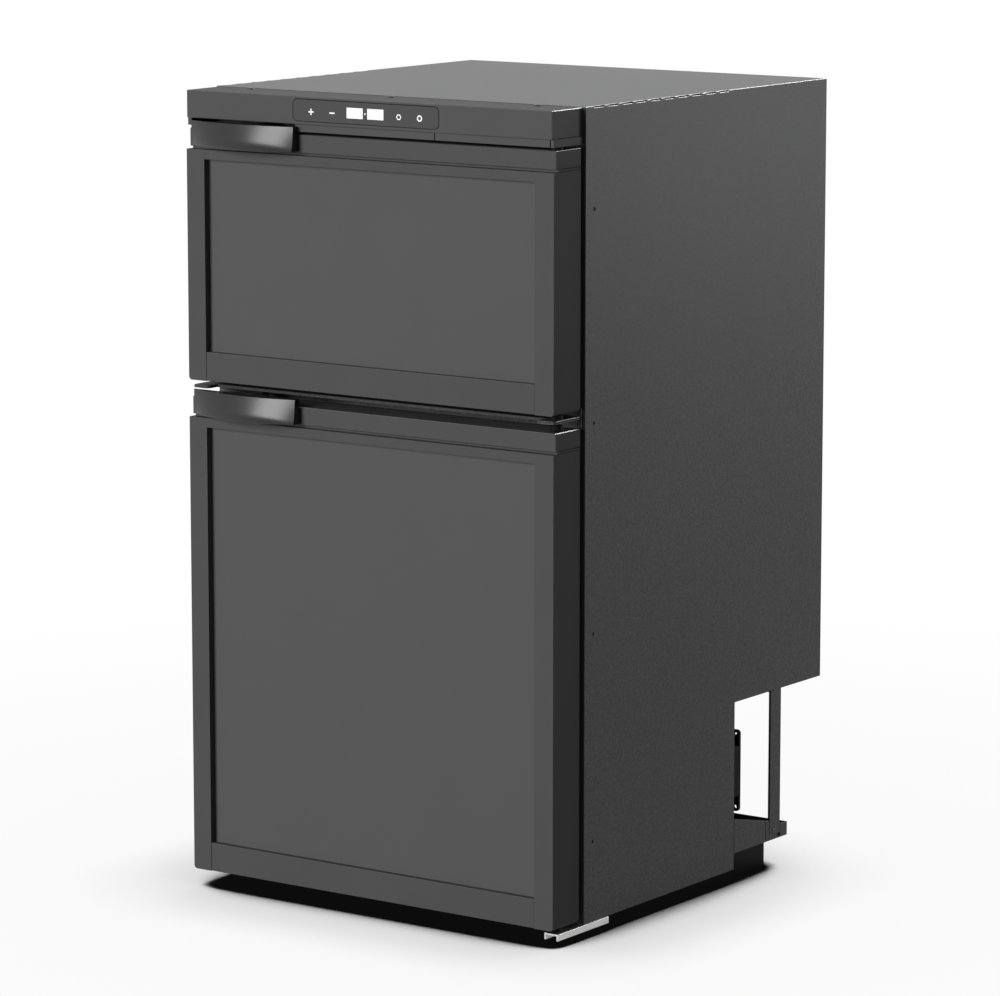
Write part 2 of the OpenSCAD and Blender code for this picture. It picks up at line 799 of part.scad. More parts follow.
// A moulded ring with the panel's opening in front, its slots, a web behind it and a foam space.
module door_frame(i) {
    z0 = door_z0(i);
    z1 = frame_z1(i);
    color("#3c3c3e") difference() {
        union() {
            difference() {
                along_y(-door_front, -door_back) frame_outline(i);
                block([-panel_half, -door_front - cut, z0 - cut],
                    [panel_half, -panel_face, z1 - top_rail_h]);
                block([-panel_half - panel_slot, -panel_face - bond, z0 + door_t],
                    [panel_half + panel_slot, -web_front, z1 - top_rail_h + panel_slot]);
                block([-door_half + door_t, -web_front + door_t, z0 + door_t],
                    [door_half - door_t, -door_back + cut, z1 + cut]);
            }
            hinge_boss(i);
        }
        bush_hole(i);
    }
}

module door_panel(i) {
    gap = fit_gap;
    color("#454547") block([-panel_half - panel_slot + gap, -panel_face, door_z0(i) + door_t],
        [panel_half + panel_slot - gap, -web_front, frame_z1(i) - top_rail_h + panel_slot - gap]);
}

module door_strip(i) {
    color("#3d3d3f") block([-panel_half + strip_gap, -door_front, door_z0(i) + strip_gap],
        [panel_half - strip_gap, -panel_face, door_z0(i) + strip_h]);
}

ear_gap = 0.5;
ear_drop = 7;
latch_slot_depth = 11;
latch_slot_back = 20;
latch_slot_gap = 1.5;

// Repeats a piece on the left of the handle's foremost point and, mirrored, on its right.
module both_ears() {
    for (s = [0, 1]) translate([-handle_bow_x, 0, 0]) mirror([s, 0, 0]) children();
}

// The two ears that carry the handle's stubs, rounded about the pivot line.
module handle_ears(i) {
    top = door_z1(i);
    both_ears() along_x(-ear_span, -ear_span + ear_w) {
        translate([-stub_y, top + stub_rise]) circle(ear_r);
        polygon([
            [-cap_front + cut, top - ear_drop], [-stub_y - ear_r + 1, top - ear_drop],
            [-stub_y - ear_r, top + stub_rise], [-stub_y + ear_r, top + stub_rise],
            [-stub_y + ear_r, top], [-cap_front + cut, top]
        ]);
    }
}

// The cap on top of a door: it closes the frame, holds the upper bush and carries the handle.
module door_cap(i) {
    top = door_z1(i);
    color("#38383a") difference() {
        union() {
            block([cap_left, -cap_front, top - cap_h], [cap_right, -door_back, top]);
            block([cap_left, -door_front + groove_d, frame_z1(i)],
                [door_half, -door_back, top - cap_h + bond]);
            handle_ears(i);
        }
        translate([-handle_out, -stub_y, top + stub_rise]) rotate([0, 90, 0])
            cylinder(h = handle_out - handle_in, r = stub_r + pin_clearance);
        translate([hinge_x, -hinge_y, top - pin_reach - 1]) cylinder(h = pin_reach + 1 + cut, r = bush_r);
        block([-latch_x - latch_w/2 - latch_slot_gap, -cap_front - cut, top - latch_slot_depth],
            [-latch_x + latch_w/2 + latch_slot_gap, -latch_slot_back, top + cut]);
    }
}

plug_half = cabin_half - plug_gap;
skin_t = 2;
skin_inset = 1;

module door_foam(i) {
    z0 = door_z0(i);
    z1 = frame_z1(i);
    color("khaki") difference() {
        union() {
            block([-door_half + door_t, -web_front + door_t, z0 + door_t],
                [door_half - door_t, -door_back, z1]);
            block([-plug_half + skin_t, -door_back - cut, open_z0(i) + plug_gap + skin_t],
                [plug_half - skin_t, -door_back + plug_depth - skin_t, open_z1(i) - plug_gap - skin_t]);
        }
        block([boss_x, boss_y0, z0], [door_half, boss_y1, z0 + boss_h]);
    }
}

// The door's inner skin: a flat rim with a raised plug that fits the cabin's mouth.
module door_liner(i) {
    color("whitesmoke") difference() {
        union() {
            block([-door_half + skin_inset, -door_back, door_z0(i) + skin_inset],
                [door_half - skin_inset, -door_back + skin_t, door_z1(i) - skin_inset]);
            block([-plug_half, -door_back, open_z0(i) + plug_gap],
                [plug_half, -door_back + plug_depth, open_z1(i) - plug_gap]);
        }
        block([-plug_half + skin_t, -door_back - cut, open_z0(i) + plug_gap + skin_t],
            [plug_half - skin_t, -door_back + plug_depth - skin_t, open_z1(i) - plug_gap - skin_t]);
    }
}

module seal_ring(i, inset, y0, y1) {
    far = inset + seal_w;
    difference() {
        block([-cabin_half - far, y0, open_z0(i) - far], [cabin_half + far, y1, open_z1(i) + far]);
        block([-cabin_half - inset, y0 - cut, open_z0(i) - inset],
            [cabin_half + inset, y1 + cut, open_z1(i) + inset]);
    }
}

module door_gasket(i) {
    color("#202022") seal_ring(i, seal_inset, -door_back + skin_t, -seal_gap);
}

// A collar closes the space that its own bracket leaves.
module bush(z_door, z_stop, up) {
    space = abs(z_stop - z_door) - bush_gap;
    barrel = pin_reach + 1;
    translate([hinge_x, -hinge_y, 0]) difference() {
        union() {
            translate([0, 0, up ? z_door - barrel : z_door]) cylinder(h = barrel, r = bush_r);
            translate([0, 0, up ? z_door : z_door - space]) cylinder(h = space, r = bush_r + bush_rim);
        }
        translate([0, 0, min(z_door, z_stop) - barrel - cut])
            cylinder(h = abs(z_stop - z_door) + 2*barrel + 2*cut, r = pin_r + pin_clearance);
    }
}

module door_bushes(i) {
    color("ivory") {
        bush(door_z1(i), i == 0 ? bracket_z : bar_z - pin_head_t, true);
        bush(door_z0(i), i == 0 ? bar_z + bar_t : 0, false);
    }
}

// HANDLES

// The handle's outer form: a bowed front and a lip whose tighter bow runs out at both ends.
module bow_solid(r_less, z0, z1) {
    lip_r = lip_bow_r - r_less;
    translate([-handle_bow_x, handle_bow_r - handle_reach, z0])
        cylinder(h = z1 - z0, r = handle_bow_r - r_less);
    translate([-handle_bow_x, lip_bow_r - front_reach, z0]) {
        cylinder(h = lip_edge_h, r = lip_r);
        translate([0, 0, lip_edge_h]) cylinder(h = lip_h, r1 = lip_r, r2 = lip_r - lip_out);
    }
}

arm_t = 1.9;
arm_reach = 24;
nose_l = 4;
web_t = 3;
rib_t = 2;
cap_gap = 0.8;
trim_room = 2.2;
handle_back = -trim_front - trim_room;

// The room that a handle takes up behind its bow: its upper part keeps clear of the trim strip.
module handle_room(i, inset) {
    far = front_reach + cut;
    top = door_z1(i) + handle_rise;
    bottom = top - handle_h;
    block([-handle_out + inset, -far, bottom - (inset > 0 ? cut : 0)],
        [-handle_in - inset, -cap_front - cap_gap + (inset > 0 ? cut : 0), door_z1(i) - trim_room]);
    block([-handle_out + inset, -far, door_z1(i) - trim_room - cut],
        [-handle_in - inset, handle_back + (inset > 0 ? cut : 0), top - inset]);
}

// A hollow grip with two stubs to turn on and an arm that reaches back to the strike.
module handle(i) {
    top = door_z1(i) + handle_rise;
    bottom = top - handle_h;
    arm_z = door_z1(i) + fit_gap;
    nose_top = (i == 0 ? freezer_strike_z : fridge_strike_z) - latch_gap;
    front_in = -handle_reach + handle_t/2;
    color("#18181a") {
        difference() {
            intersection() {
                bow_solid(0, bottom, top);
                handle_room(i, 0);
            }
            intersection() {
                bow_solid(handle_t, bottom - cut, top);
                handle_room(i, handle_t);
            }
        }
        both_ears() {
            intersection() {
                block([-ear_span - ear_gap - web_t, -front_reach, door_z1(i) - ear_drop + 2],
                    [-ear_span - ear_gap, handle_back, top - handle_t/2]);
                translate([0, handle_bow_r - handle_reach, bottom])
                    cylinder(h = handle_h, r = handle_bow_r - handle_t/2);
            }
            translate([-ear_span - ear_gap - web_t/2, -stub_y, door_z1(i) + stub_rise])
                rotate([0, 90, 0]) cylinder(h = web_t/2 + ear_gap + ear_w - 0.5, r = stub_r);
        }
        block([-latch_x - latch_w/2, front_in, arm_z], [-latch_x + latch_w/2, -arm_reach, arm_z + arm_t]);
        block([-latch_x - latch_w/2, -arm_reach - nose_l, arm_z],
            [-latch_x + latch_w/2, -arm_reach, nose_top]);
        for (x = [-latch_x - latch_w/2, -latch_x + latch_w/2 - rib_t])
            block([x, front_in, arm_z], [x + rib_t, handle_back, top - handle_t/2]);
    }
}

module freezer_handle() { handle(0); }
module fridge_handle() { handle(1); }
module freezer_door_frame() { door_frame(0); }
module fridge_door_frame() { door_frame(1); }
module freezer_door_cap() { door_cap(0); }
module fridge_door_cap() { door_cap(1); }
module freezer_door_panel() { door_panel(0); }
module fridge_door_panel() { door_panel(1); }
module freezer_door_strip() { door_strip(0); }
module fridge_door_strip() { door_strip(1); }
module freezer_door_foam() { door_foam(0); }
module fridge_door_foam() { door_foam(1); }
module freezer_door_liner() { door_liner(0); }
module fridge_door_liner() { door_liner(1); }
module freezer_door_gasket() { door_gasket(0); }
module fridge_door_gasket() { door_gasket(1); }
module freezer_door_bushes() { door_bushes(0); }
module fridge_door_bushes() { door_bushes(1); }

bin_y0 = -door_back + plug_depth;
bin_half_w = plug_half - bin_side_gap;
bin_low_z = fridge_floor + low_bin_height;
bin_high_z = fridge_ceiling - top_bin_drop;
bin_last = len(bin_walls) - 1;

// Three open trays that hook onto the fridge door's inner skin.
module fridge_door_bins() {
    color("lightblue") for (i = [0:bin_last]) {
        z0 = bin_low_z + i*(bin_high_z - bin_low_z)/bin_last;
        difference() {
            block([-bin_half_w, bin_y0, z0], [bin_half_w, bin_y0 + bin_depth, z0 + bin_walls[i]]);
            block([-bin_half_w + bin_t, bin_y0 + bin_t, z0 + bin_t],
                [bin_half_w - bin_t, bin_y0 + bin_depth - bin_t, z0 + bin_walls[i] + cut]);
        }
    }
}

// INSIDE THE CABINS

cold_front = 34;
cold_back_gap = 8;
foot_w = 12;
foot_inset = 20;
rack_ledge_w = 8;

// A flattened sleeve of cooling plate, open at the front and back, on four feet.
module freezer_evaporator() {
    x1 = cabin_half - cold_gap;
    z0 = freezer_floor + cold_gap;
    z1 = freezer_ceiling - cold_gap;
    y0 = frame_t + cold_front;
    y1 = cabin_back - cold_back_gap;
    color("silver") {
        difference() {
            block([-x1, y0, z0], [x1, y1, z1]);
            block([-x1 + cold_t, y0 - cut, z0 + cold_t], [x1 - cold_t, y1 + cut, z1 - cold_t]);
        }
        for (x = [-x1 + foot_inset, x1 - foot_inset - foot_w], z = [z0 - cold_gap, z1])
            for (y = [y0 + foot_inset, y1 - foot_inset - foot_w])
                block([x, y, z], [x + foot_w, y + foot_w, z + cold_gap]);
        for (s = [0, 1]) mirror([s, 0, 0])
            block([x1 - rack_ledge_w, y0 + cut, rack_z - wire_r - bar_wire_r - 2*cold_t],
                [x1 - cold_t/2, y1 - cut, rack_z - wire_r - bar_wire_r]);
    }
}

rack_z = freezer_floor + rack_height;
rack_half = cabin_half - cold_gap - cold_t - fit_gap;
rack_y0 = frame_t + rack_front;
rack_back_gap = 14;
rack_y1 = cabin_back - rack_back_gap;
wire_inset = 12;
bar_wire_r = wire_r + 0.8;

// Long wires over three thicker cross wires, which rest on the plate's two ledges.
module freezer_rack() {
    color("white") {
        for (i = [0:wire_count - 1]) {
            x = -rack_half + wire_inset + 2*i*(rack_half - wire_inset)/(wire_count - 1);
            rod([x, rack_y0, rack_z], [x, rack_y1, rack_z], wire_r);
        }
        for (y = [rack_y0, (rack_y0 + rack_y1)/2, rack_y1])
            rod([-rack_half, y, rack_z - wire_r], [rack_half, y, rack_z - wire_r], bar_wire_r);
    }
}

plate_stand = 4;

// A flat cooling plate that stands off the cabin's back wall on four blocks.
module fridge_evaporator() {
    x1 = cabin_half - plate_side_gap;
    z0 = step_z + plate_bottom_gap;
    z1 = fridge_ceiling - plate_top_gap;
    y1 = cabin_back - plate_stand;
    color("silver") {
        block([-x1, y1 - cold_t, z0], [x1, y1, z1]);
        for (x = [-x1 + foot_w, x1 - 2*foot_w], z = [z0 + foot_w, z1 - 2*foot_w])
            block([x, y1, z], [x + foot_w, cabin_back, z + foot_w]);
    }
}

pane_half = cabin_half - shelf_gap;
pane_back_gap = 6;
trim_w = 9;
trim_lip = 2;
lip_drop = 4;
lip_rise = 3;

module glass_shelves() {
    color("lightcyan", 0.5) {
        for (i = [0:len(shelf_heights) - 1])
            block([-pane_half, shelf_front + trim_lip, shelf_z(i)],
                [pane_half, cabin_back - pane_back_gap, shelf_z(i) + glass_t]);
        block([-pane_half, cover_front + trim_lip, cover_z],
            [pane_half, low_back - shelf_gap, cover_z + glass_t]);
    }
}

module shelf_trim(y0, z) {
    difference() {
        block([-pane_half + ledge_w, y0 - lip_drop, z - lip_drop],
            [pane_half - ledge_w, y0 + trim_w, z + glass_t + lip_rise]);
        block([-pane_half, y0 + trim_lip, z], [pane_half, y0 + trim_w + cut, z + glass_t]);
    }
}

module shelf_trims() {
    color("gray") {
        for (i = [0:len(shelf_heights) - 1]) shelf_trim(shelf_front, shelf_z(i));
        shelf_trim(cover_front, cover_z);
    }
}

crisper_z0 = fridge_floor + crisper_lift;
crisper_z1 = crisper_z0 + crisper_h;
crisper_half_w = cabin_half - crisper_side_gap;
crisper_back_gap = 9;
crisper_back = low_back - crisper_back_gap;
drawer_flange_t = 3;
flange_drop = 14;
flange_z = crisper_z1 - flange_drop;
flange_front = 28;
runner_t = 8;
runner_room = 1.5;
grip_half_w = 45;
grip_r = 8;
grip_drop = 22;
grip_h = 18;

module crisper_runners() {
    color("lightgray") for (s = [0, 1]) mirror([s, 0, 0])
        block([crisper_half_w + runner_room, crisper_front + flange_front, flange_z - runner_gap - runner_t],
            [cabin_half, low_back, flange_z - runner_gap]);
}

// An open drawer with a finger recess in its front and a flange along each side.
module crisper_drawer() {
    color("azure", 0.6) {
        difference() {
            block([-crisper_half_w, crisper_front, crisper_z0], [crisper_half_w, crisper_back, crisper_z1]);
            block([-crisper_half_w + crisper_t, crisper_front + crisper_t, crisper_z0 + crisper_t],
                [crisper_half_w - crisper_t, crisper_back - crisper_t, crisper_z1 + cut]);
            along_y(crisper_front - cut, crisper_front + crisper_t + cut)
                round_rect([-grip_half_w, crisper_z1 - grip_drop - grip_h],
                    [grip_half_w, crisper_z1 - grip_drop], grip_r);
        }
        for (s = [0, 1]) mirror([s, 0, 0])
            block([crisper_half_w - crisper_t/2, crisper_front + flange_front, flange_z],
                [crisper_half_w + flange_w, crisper_back, flange_z + drawer_flange_t]);
    }
}

lamp_size = [64, 26, 7];
lamp_y = 125;

module cabin_lamp() {
    color("white") translate([0, lamp_y, fridge_ceiling - lamp_size.z/2]) cube(lamp_size, center = true);
}

// MACHINE BAY

tray_top = tray_z + tray_t;
post_y0 = bay_y + post_y;
post_y1 = post_y0 + post_w;
post_gap = 1.4;
foot_extra = 7;
foot_back_inset = 4;
foot_rise = 6;
foot_inset_x = 0.4;
post_lift = 4;
post_lip_w = 14;
gusset_y1 = post_y0 - foot_extra - post_gap;
gusset_fall = 14;

// The tray's floor, rear lip and side walls; each wall has a gap where a post's foot stands.
module compressor_tray() {
    wall_top = tray_z + tray_lip;
    color("dimgray") {
        block([-half_w, bay_y + fit_gap, tray_z], [half_w, tray_back, tray_top]);
        block([-half_w, tray_back - tray_t, tray_z], [half_w, tray_back, wall_top]);
        for (s = [0, 1]) mirror([s, 0, 0]) {
            along_x(half_w - tray_t, half_w) polygon([
                [bay_y + fit_gap, tray_z], [gusset_y1, tray_z], [gusset_y1, tray_z + gusset_h - gusset_fall],
                [bay_y + fit_gap, tray_z + gusset_h]
            ]);
            block([half_w - tray_t, post_y1 + fit_gap, tray_z], [half_w, tray_back, wall_top]);
        }
    }
}

module frame_posts() {
    color("dimgray") for (s = [0, 1]) mirror([s, 0, 0]) {
        block([half_w - post_t, post_y0, tray_top + post_lift], [half_w, post_y1, bay_h]);
        block([half_w - post_t, post_y0 - foot_extra, tray_top],
            [half_w - foot_inset_x, post_y1 - foot_back_inset, tray_top + tray_lip + foot_rise]);
        block([half_w - post_t - post_lip_w, post_y0, bay_h - tray_t],
            [half_w - post_t + bond, post_y1, bay_h]);
    }
}

comp_gap = 6;
comp_y = bay_y + comp_gap + comp_r;
leg_x = 44;
leg_y = 40;
leg_t = 3;
leg_margin = 7;
leg_hole_r = 4;
comp_z0 = tray_top + mount_h + leg_t;
seam_rise = 66;
seam_h = 5;
seam_out = 3;
shell_round_r = 20;

module leg_places() {
    for (x = [-leg_x, leg_x], y = [-leg_y, leg_y]) translate([-comp_x + x, comp_y + y, 0]) children();
}

// A welded shell with rounded ends, its seam ring, base plate and terminal cover.
module compressor() {
    round_r = shell_round_r;
    color("#202022") {
        translate([-comp_x, comp_y, comp_z0]) rotate_extrude() {
            square([comp_r - round_r, comp_h]);
            translate([0, round_r]) square([comp_r, comp_h - 2*round_r]);
            intersection() {
                for (z = [round_r, comp_h - round_r]) translate([comp_r - round_r, z]) circle(round_r);
                square([comp_r + cut, comp_h]);
            }
        }
        translate([-comp_x, comp_y, comp_z0 + seam_rise]) cylinder(h = seam_h, r = comp_r + seam_out);
        difference() {
            translate([-comp_x, comp_y, tray_top + mount_h + leg_t/2])
                cube([2*(leg_x + leg_margin), 2*(leg_y + leg_margin), leg_t], center = true);
            leg_places() translate([0, 0, tray_top + mount_h - cut])
                cylinder(h = leg_t + 2*cut, r = leg_hole_r);
        }
    }
}

mount_r = 8;
mount_neck_r = leg_hole_r - 0.1;
mount_rim_r = 6.5;
mount_rim_t = 2;

// Four rubber feet, each gripped in a hole of the compressor's base plate.
module compressor_mounts() {
    color("#303030") leg_places() {
        translate([0, 0, tray_top]) cylinder(h = mount_h, r = mount_r);
        translate([0, 0, tray_top + mount_h]) cylinder(h = leg_t + cut, r = mount_neck_r);
        translate([0, 0, tray_top + mount_h + leg_t]) cylinder(h = mount_rim_t, r = mount_rim_r);
    }
}

control_x0 = -comp_x + comp_r + seam_out + fit_gap;
terminal_inset = [6, 8];
terminal_size = [16, 52, 12];
terminal_count = 5;
terminal_pitch = 10;
terminal_hole_r = 2.6;
terminal_hole_depth = 8;

// The electronic unit beside the compressor, with its terminal block on top.
module power_controller() {
    y0 = comp_y - controller_size.y/2;
    color("#2a2a2c") translate([control_x0, y0, tray_top]) cube(controller_size);
    top = tray_top + controller_size.z;
    color("black") translate([control_x0 + terminal_inset.x, y0 + terminal_inset.y, top])
        difference() {
            cube(terminal_size);
            for (i = [0:terminal_count - 1]) {
                y = terminal_size.y/2 + (i - (terminal_count - 1)/2)*terminal_pitch;
                translate([terminal_size.x/2, y, terminal_size.z - terminal_hole_depth])
                    cylinder(h = terminal_hole_depth + cut, r = terminal_hole_r);
            }
        }
}

fan_x = fan_right - fan_w/2;
shroud_margin = 6;
shroud_x1 = fan_right + shroud_margin;
shroud_x0 = shroud_x1 - shroud_w;
cond_x0 = shroud_x0;
cond_x1 = cond_x0 + cond_w;
cond_gap = 43;
cond_y0 = bay_y + cond_gap;
cond_lift = 4;
cond_z0 = tray_top + cond_lift;
shroud_t = 3;
shroud_y = cond_y0 + cond_d;
fan_y0 = shroud_y + shroud_t;
fan_rise = 59.5;
fan_z = cond_z0 + fan_rise;
fin_t = 0.8;
fin_margin = 6;
end_plate_t = 1.5;
bore_gap = 1.5;
first_pass_rise = 24;
tube_rows = [10, 24];
tube_r = 3.5;
pass_pitch = 20;
pass_count = 4;
tube_out = 1;

function pass_z(k) = cond_z0 + first_pass_rise + k*pass_pitch;

// A half ring that joins pass k to the one above it, opening towards +X or -X.
module return_bend(x, y, k, side) {
    r = pass_pitch/2;
    reach = r + tube_r + cut;
    translate([x, cond_y0 + y, pass_z(k) + r]) intersection() {
        rotate([90, 0, 0]) rotate_extrude() translate([r, 0]) circle(tube_r);
        translate([side > 0 ? 0 : -reach, -reach, -reach]) cube([reach, 2*reach, 2*reach]);
    }
}

// Fins on a bank of bent tubes between two end plates, with the fan's shroud behind.
module condenser() {
    color("silver") {
        for (i = [0:fin_count - 1]) {
            x = cond_x0 + fin_margin + i*(cond_w - 2*fin_margin)/(fin_count - 1);
            block([x - fin_t/2, cond_y0 + cut, cond_z0 + cut],
                [x + fin_t/2, cond_y0 + cond_d - cut, cond_z0 + cond_h - cut]);
        }
        for (x = [cond_x0, cond_x1 - end_plate_t])
            block([x, cond_y0, tray_top], [x + end_plate_t, cond_y0 + cond_d, cond_z0 + cond_h]);
        for (y = tube_rows) {
            for (k = [0:pass_count - 1])
                rod([cond_x0 - tube_out, cond_y0 + y, pass_z(k)],
                    [cond_x1 + tube_out, cond_y0 + y, pass_z(k)], tube_r);
            for (k = [0:2:pass_count - 2]) return_bend(cond_x1 + tube_out, y, k, 1);
            for (k = [1:2:pass_count - 2]) return_bend(cond_x0 - tube_out, y, k, -1);
        }
    }
    color("dimgray") along_y(shroud_y, shroud_y + shroud_t) difference() {
        translate([shroud_x0, tray_top]) square([shroud_w, cond_z0 + cond_h - tray_top]);
        translate([fan_x, fan_z]) circle(blade_tip_r + bore_gap);
    }
}

hub_r = 16;
shaft_r = 1.5;
frame_corner_r = 4;
fan_hole_r = 2.2;
fan_hole_inset = 5;
notch_w = 26;
notch_flange = 4;
arm_w = 6;
stator_h = 4;

module fan_frame() {
    color("#141414") translate([fan_x, fan_y0, fan_z]) rotate([-90, 0, 0]) {
        difference() {
            linear_extrude(fan_d) round_rect([-fan_w/2, -fan_w/2], [fan_w/2, fan_w/2], frame_corner_r);
            translate([0, 0, -cut]) cylinder(h = fan_d + 2*cut, r = blade_tip_r + bore_gap);
            for (a = [45:90:315]) rotate([0, 0, a]) {
                translate([(fan_w/2 - fan_hole_inset)*sqrt(2), 0, -cut])
                    cylinder(h = fan_d + 2*cut, r = fan_hole_r);
                translate([fan_w/sqrt(2) - notch_w/2, -notch_w/2, notch_flange])
                    cube([notch_w, notch_w, fan_d - 2*notch_flange]);
            }
        }
        translate([0, 0, fan_d - stator_h]) difference() {
            union() {
                cylinder(h = stator_h, r = hub_r);
                for (a = [45:90:315]) rotate([0, 0, a]) translate([0, -arm_w/2, 0])
                    cube([blade_tip_r + 2*bore_gap, arm_w, stator_h - cut]);
            }
            translate([0, 0, -cut]) cylinder(h = stator_h + 2*cut, r = shaft_r + pin_clearance);
        }
    }
}

rotor_h = 18.5;
rotor_start = 2;
shaft_l = 22;
blade_chord = 22;
blade_t = 1.6;
blade_tilt = 52;

// The turning part: a hub cup, tilted blades and a shaft.
module fan_rotor() {
    color("#1e1e1e") translate([fan_x, fan_y0 + rotor_start, fan_z]) rotate([-90, 0, 0]) {
        cylinder(h = rotor_h, r = hub_r);
        cylinder(h = shaft_l, r = shaft_r);
        intersection() {
            cylinder(h = rotor_h, r = blade_tip_r);
            for (i = [0:blade_count - 1]) rotate([0, 0, i*360/blade_count])
                translate([(blade_tip_r + hub_r)/2 + cut, 0, rotor_h/2]) rotate([blade_tilt, 0, 0])
                    cube([blade_tip_r - hub_r + 4*cut, blade_chord, blade_t], center = true);
        }
    }
}

guard_ring_r = 1.1;
guard_r = 36.5;
guard_pitch = 10;
guard_rings = 3;
guard_reach = 12;
guard_overlap = 0.1;

// A round wire guard on the fan's back.
module fan_guard() {
    color("gray") translate([fan_x, fan_y0 + fan_d, fan_z]) rotate([-90, 0, 0]) {
        for (i = [0:guard_rings - 1]) translate([0, 0, 2*guard_ring_r + guard_overlap])
            rotate_extrude() translate([guard_r - i*guard_pitch, 0]) circle(guard_ring_r);
        for (a = [45, 135]) rotate([0, 0, a]) rod([-fan_w/2 - guard_reach, 0, guard_ring_r],
            [fan_w/2 + guard_reach, 0, guard_ring_r], guard_ring_r);
    }
}

drier_gap = 14.7;
drier_y = bay_y + 18;
drier_z = tray_top + 14;
drier_r = 10;
drier_x = control_x0 + controller_size.x + drier_gap + drier_r;
drier_l = 54;
drier_neck_r = 5;
drier_neck = 7.8;
clip_w = 18;
clip_y = 12;
clip_l = 10;
clip_drop = 2;

// The drier, a short copper can with necked ends, lies in a clip on the tray.
module filter_drier() {
    color("#b06a3b") {
        rod([drier_x, drier_y, drier_z], [drier_x, drier_y + drier_l, drier_z], drier_r);
        rod([drier_x, drier_y - drier_neck, drier_z], [drier_x, drier_y + drier_l + drier_neck, drier_z],
            drier_neck_r);
    }
    color("silver") block([drier_x - clip_w/2, drier_y + clip_y, tray_top],
        [drier_x + clip_w/2, drier_y + clip_y + clip_l, drier_z - clip_drop]);
}

first_pass_z = pass_z(0);
last_pass_z = pass_z(pass_count - 1);
pipe_rise = 12;
pipe_top = comp_z0 + comp_h + pipe_rise;
hot_x = -comp_x + 20;
hot_y = comp_y - 20;
down_x = 20;
liquid_x = 18;
liquid_turn = 12;
suction_x = -comp_x - 24;
pipe_bite = 6;
butt_gap = 0.2;

// Hot line to the condenser, liquid line to the drier, and the two lines up into the foam.
module refrigerant_pipes() {
    row_y = cond_y0 + tube_rows[0];
    drier_end = drier_y + drier_l + drier_neck;
    turn_y = drier_end + liquid_turn;
    color("#b06a3b") {
        tube_run([
            [hot_x, hot_y, comp_z0 + comp_h - pipe_bite], [hot_x, hot_y, pipe_top],
            [down_x, hot_y, pipe_top], [down_x, row_y, last_pass_z],
            [cond_x0 - tube_out - butt_gap, row_y, last_pass_z]
        ], pipe_r);
        tube_run([
            [cond_x0 - tube_out - butt_gap, row_y, first_pass_z], [liquid_x, row_y, first_pass_z],
            [liquid_x, row_y, drier_z], [liquid_x, turn_y, drier_z],
            [drier_x, turn_y, drier_z], [drier_x, drier_end + butt_gap, drier_z]
        ], pipe_r);
        rod([suction_x, comp_y, comp_z0 + comp_h - pipe_bite], [suction_x, comp_y, bay_h], pipe_r);
        tube_run([
            [drier_x, drier_y - drier_neck - butt_gap, drier_z], [drier_x, bay_y + 2*pipe_r, drier_z],
            [drier_x, bay_y + 2*pipe_r, bay_h]
        ], pipe_r - 1);
    }
}

screw_r = 3.6;
screw_h = 1.2;
head_taper = 0.7;
foot_screw_r = 2.6;
foot_screw_y = post_y0 + 9;
foot_screw_z = tray_top + 8;
fascia_screw_inset = 49.5;
fascia_screw_x = fascia_w/2 - fascia_screw_inset;
fascia_screw_y = 9;
back_screw_x = inner_half - 12;
back_screw_inset = 14;

// A low round screw head on a face.
module screw_head(r, h) {
    cylinder(h = h/2, r = r);
    translate([0, 0, h/2]) cylinder(h = h/2, r1 = r, r2 = r*head_taper);
}

module panel_screws() {
    color("lightgray") {
        for (x = [-fascia_screw_x, 0, fascia_screw_x])
            translate([x, -fascia_screw_y, fascia_top]) screw_head(screw_r, screw_h);
        for (x = [-back_screw_x, 0, back_screw_x], z = [bay_h, casing_h - 2*back_screw_inset])
            translate([x, casing_d, z + back_screw_inset]) rotate([-90, 0, 0]) screw_head(screw_r, screw_h);
        for (s = [-1, 1]) translate([s*half_w, foot_screw_y, foot_screw_z])
            rotate([0, s*90, 0]) screw_head(foot_screw_r, screw_h/2);
    }
}

placed() right_side_panel();
placed() left_side_panel();
placed() top_panel();
placed() back_panel();
placed() bay_panel();
placed() bottom_pan();
placed() front_frame();
placed() foam_insulation();
placed() freezer_liner();
placed() fridge_liner();
placed() skid_rails();
placed() control_fascia();
placed() fascia_trim();
placed() touch_panel();
placed() display_symbols();
placed() control_board();
placed() hinge_brackets();
placed() middle_hinge_bar();
placed() hinge_pins();
placed() latch_strikes();
placed() freezer_evaporator();
placed() freezer_rack();
placed() fridge_evaporator();
placed() glass_shelves();
placed() shelf_trims();
placed() crisper_runners();
placed() crisper_drawer();
placed() cabin_lamp();
placed() compressor_tray();
placed() frame_posts();
placed() compressor();
placed() compressor_mounts();
placed() power_controller();
placed() condenser();
placed() fan_frame();
placed() fan_guard();
placed() fan_rotor();
placed() filter_drier();
placed() refrigerant_pipes();
placed() panel_screws();
placed() freezer_door_frame();
placed() freezer_door_cap();
placed() freezer_door_panel();
placed() freezer_door_strip();
placed() freezer_door_foam();
placed() freezer_door_liner();
placed() freezer_door_gasket();
placed() freezer_door_bushes();
placed() freezer_handle();
placed() fridge_door_frame();
placed() fridge_door_cap();
placed() fridge_door_panel();
placed() fridge_door_strip();
placed() fridge_door_foam();
placed() fridge_door_liner();
placed() fridge_door_gasket();
placed() fridge_door_bushes();
placed() fridge_door_bins();
placed() fridge_handle();
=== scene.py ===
# %% [markdown]
# # A two-door fridge freezer for a camper or boat
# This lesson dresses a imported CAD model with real-looking surfaces. The CAD parts stay where
# they are. Some get only a finish, and some are redrawn with softer edges or finer detail.
# Everything is in metres, with Z up and the doors facing -Y.

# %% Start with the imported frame
import json
import math

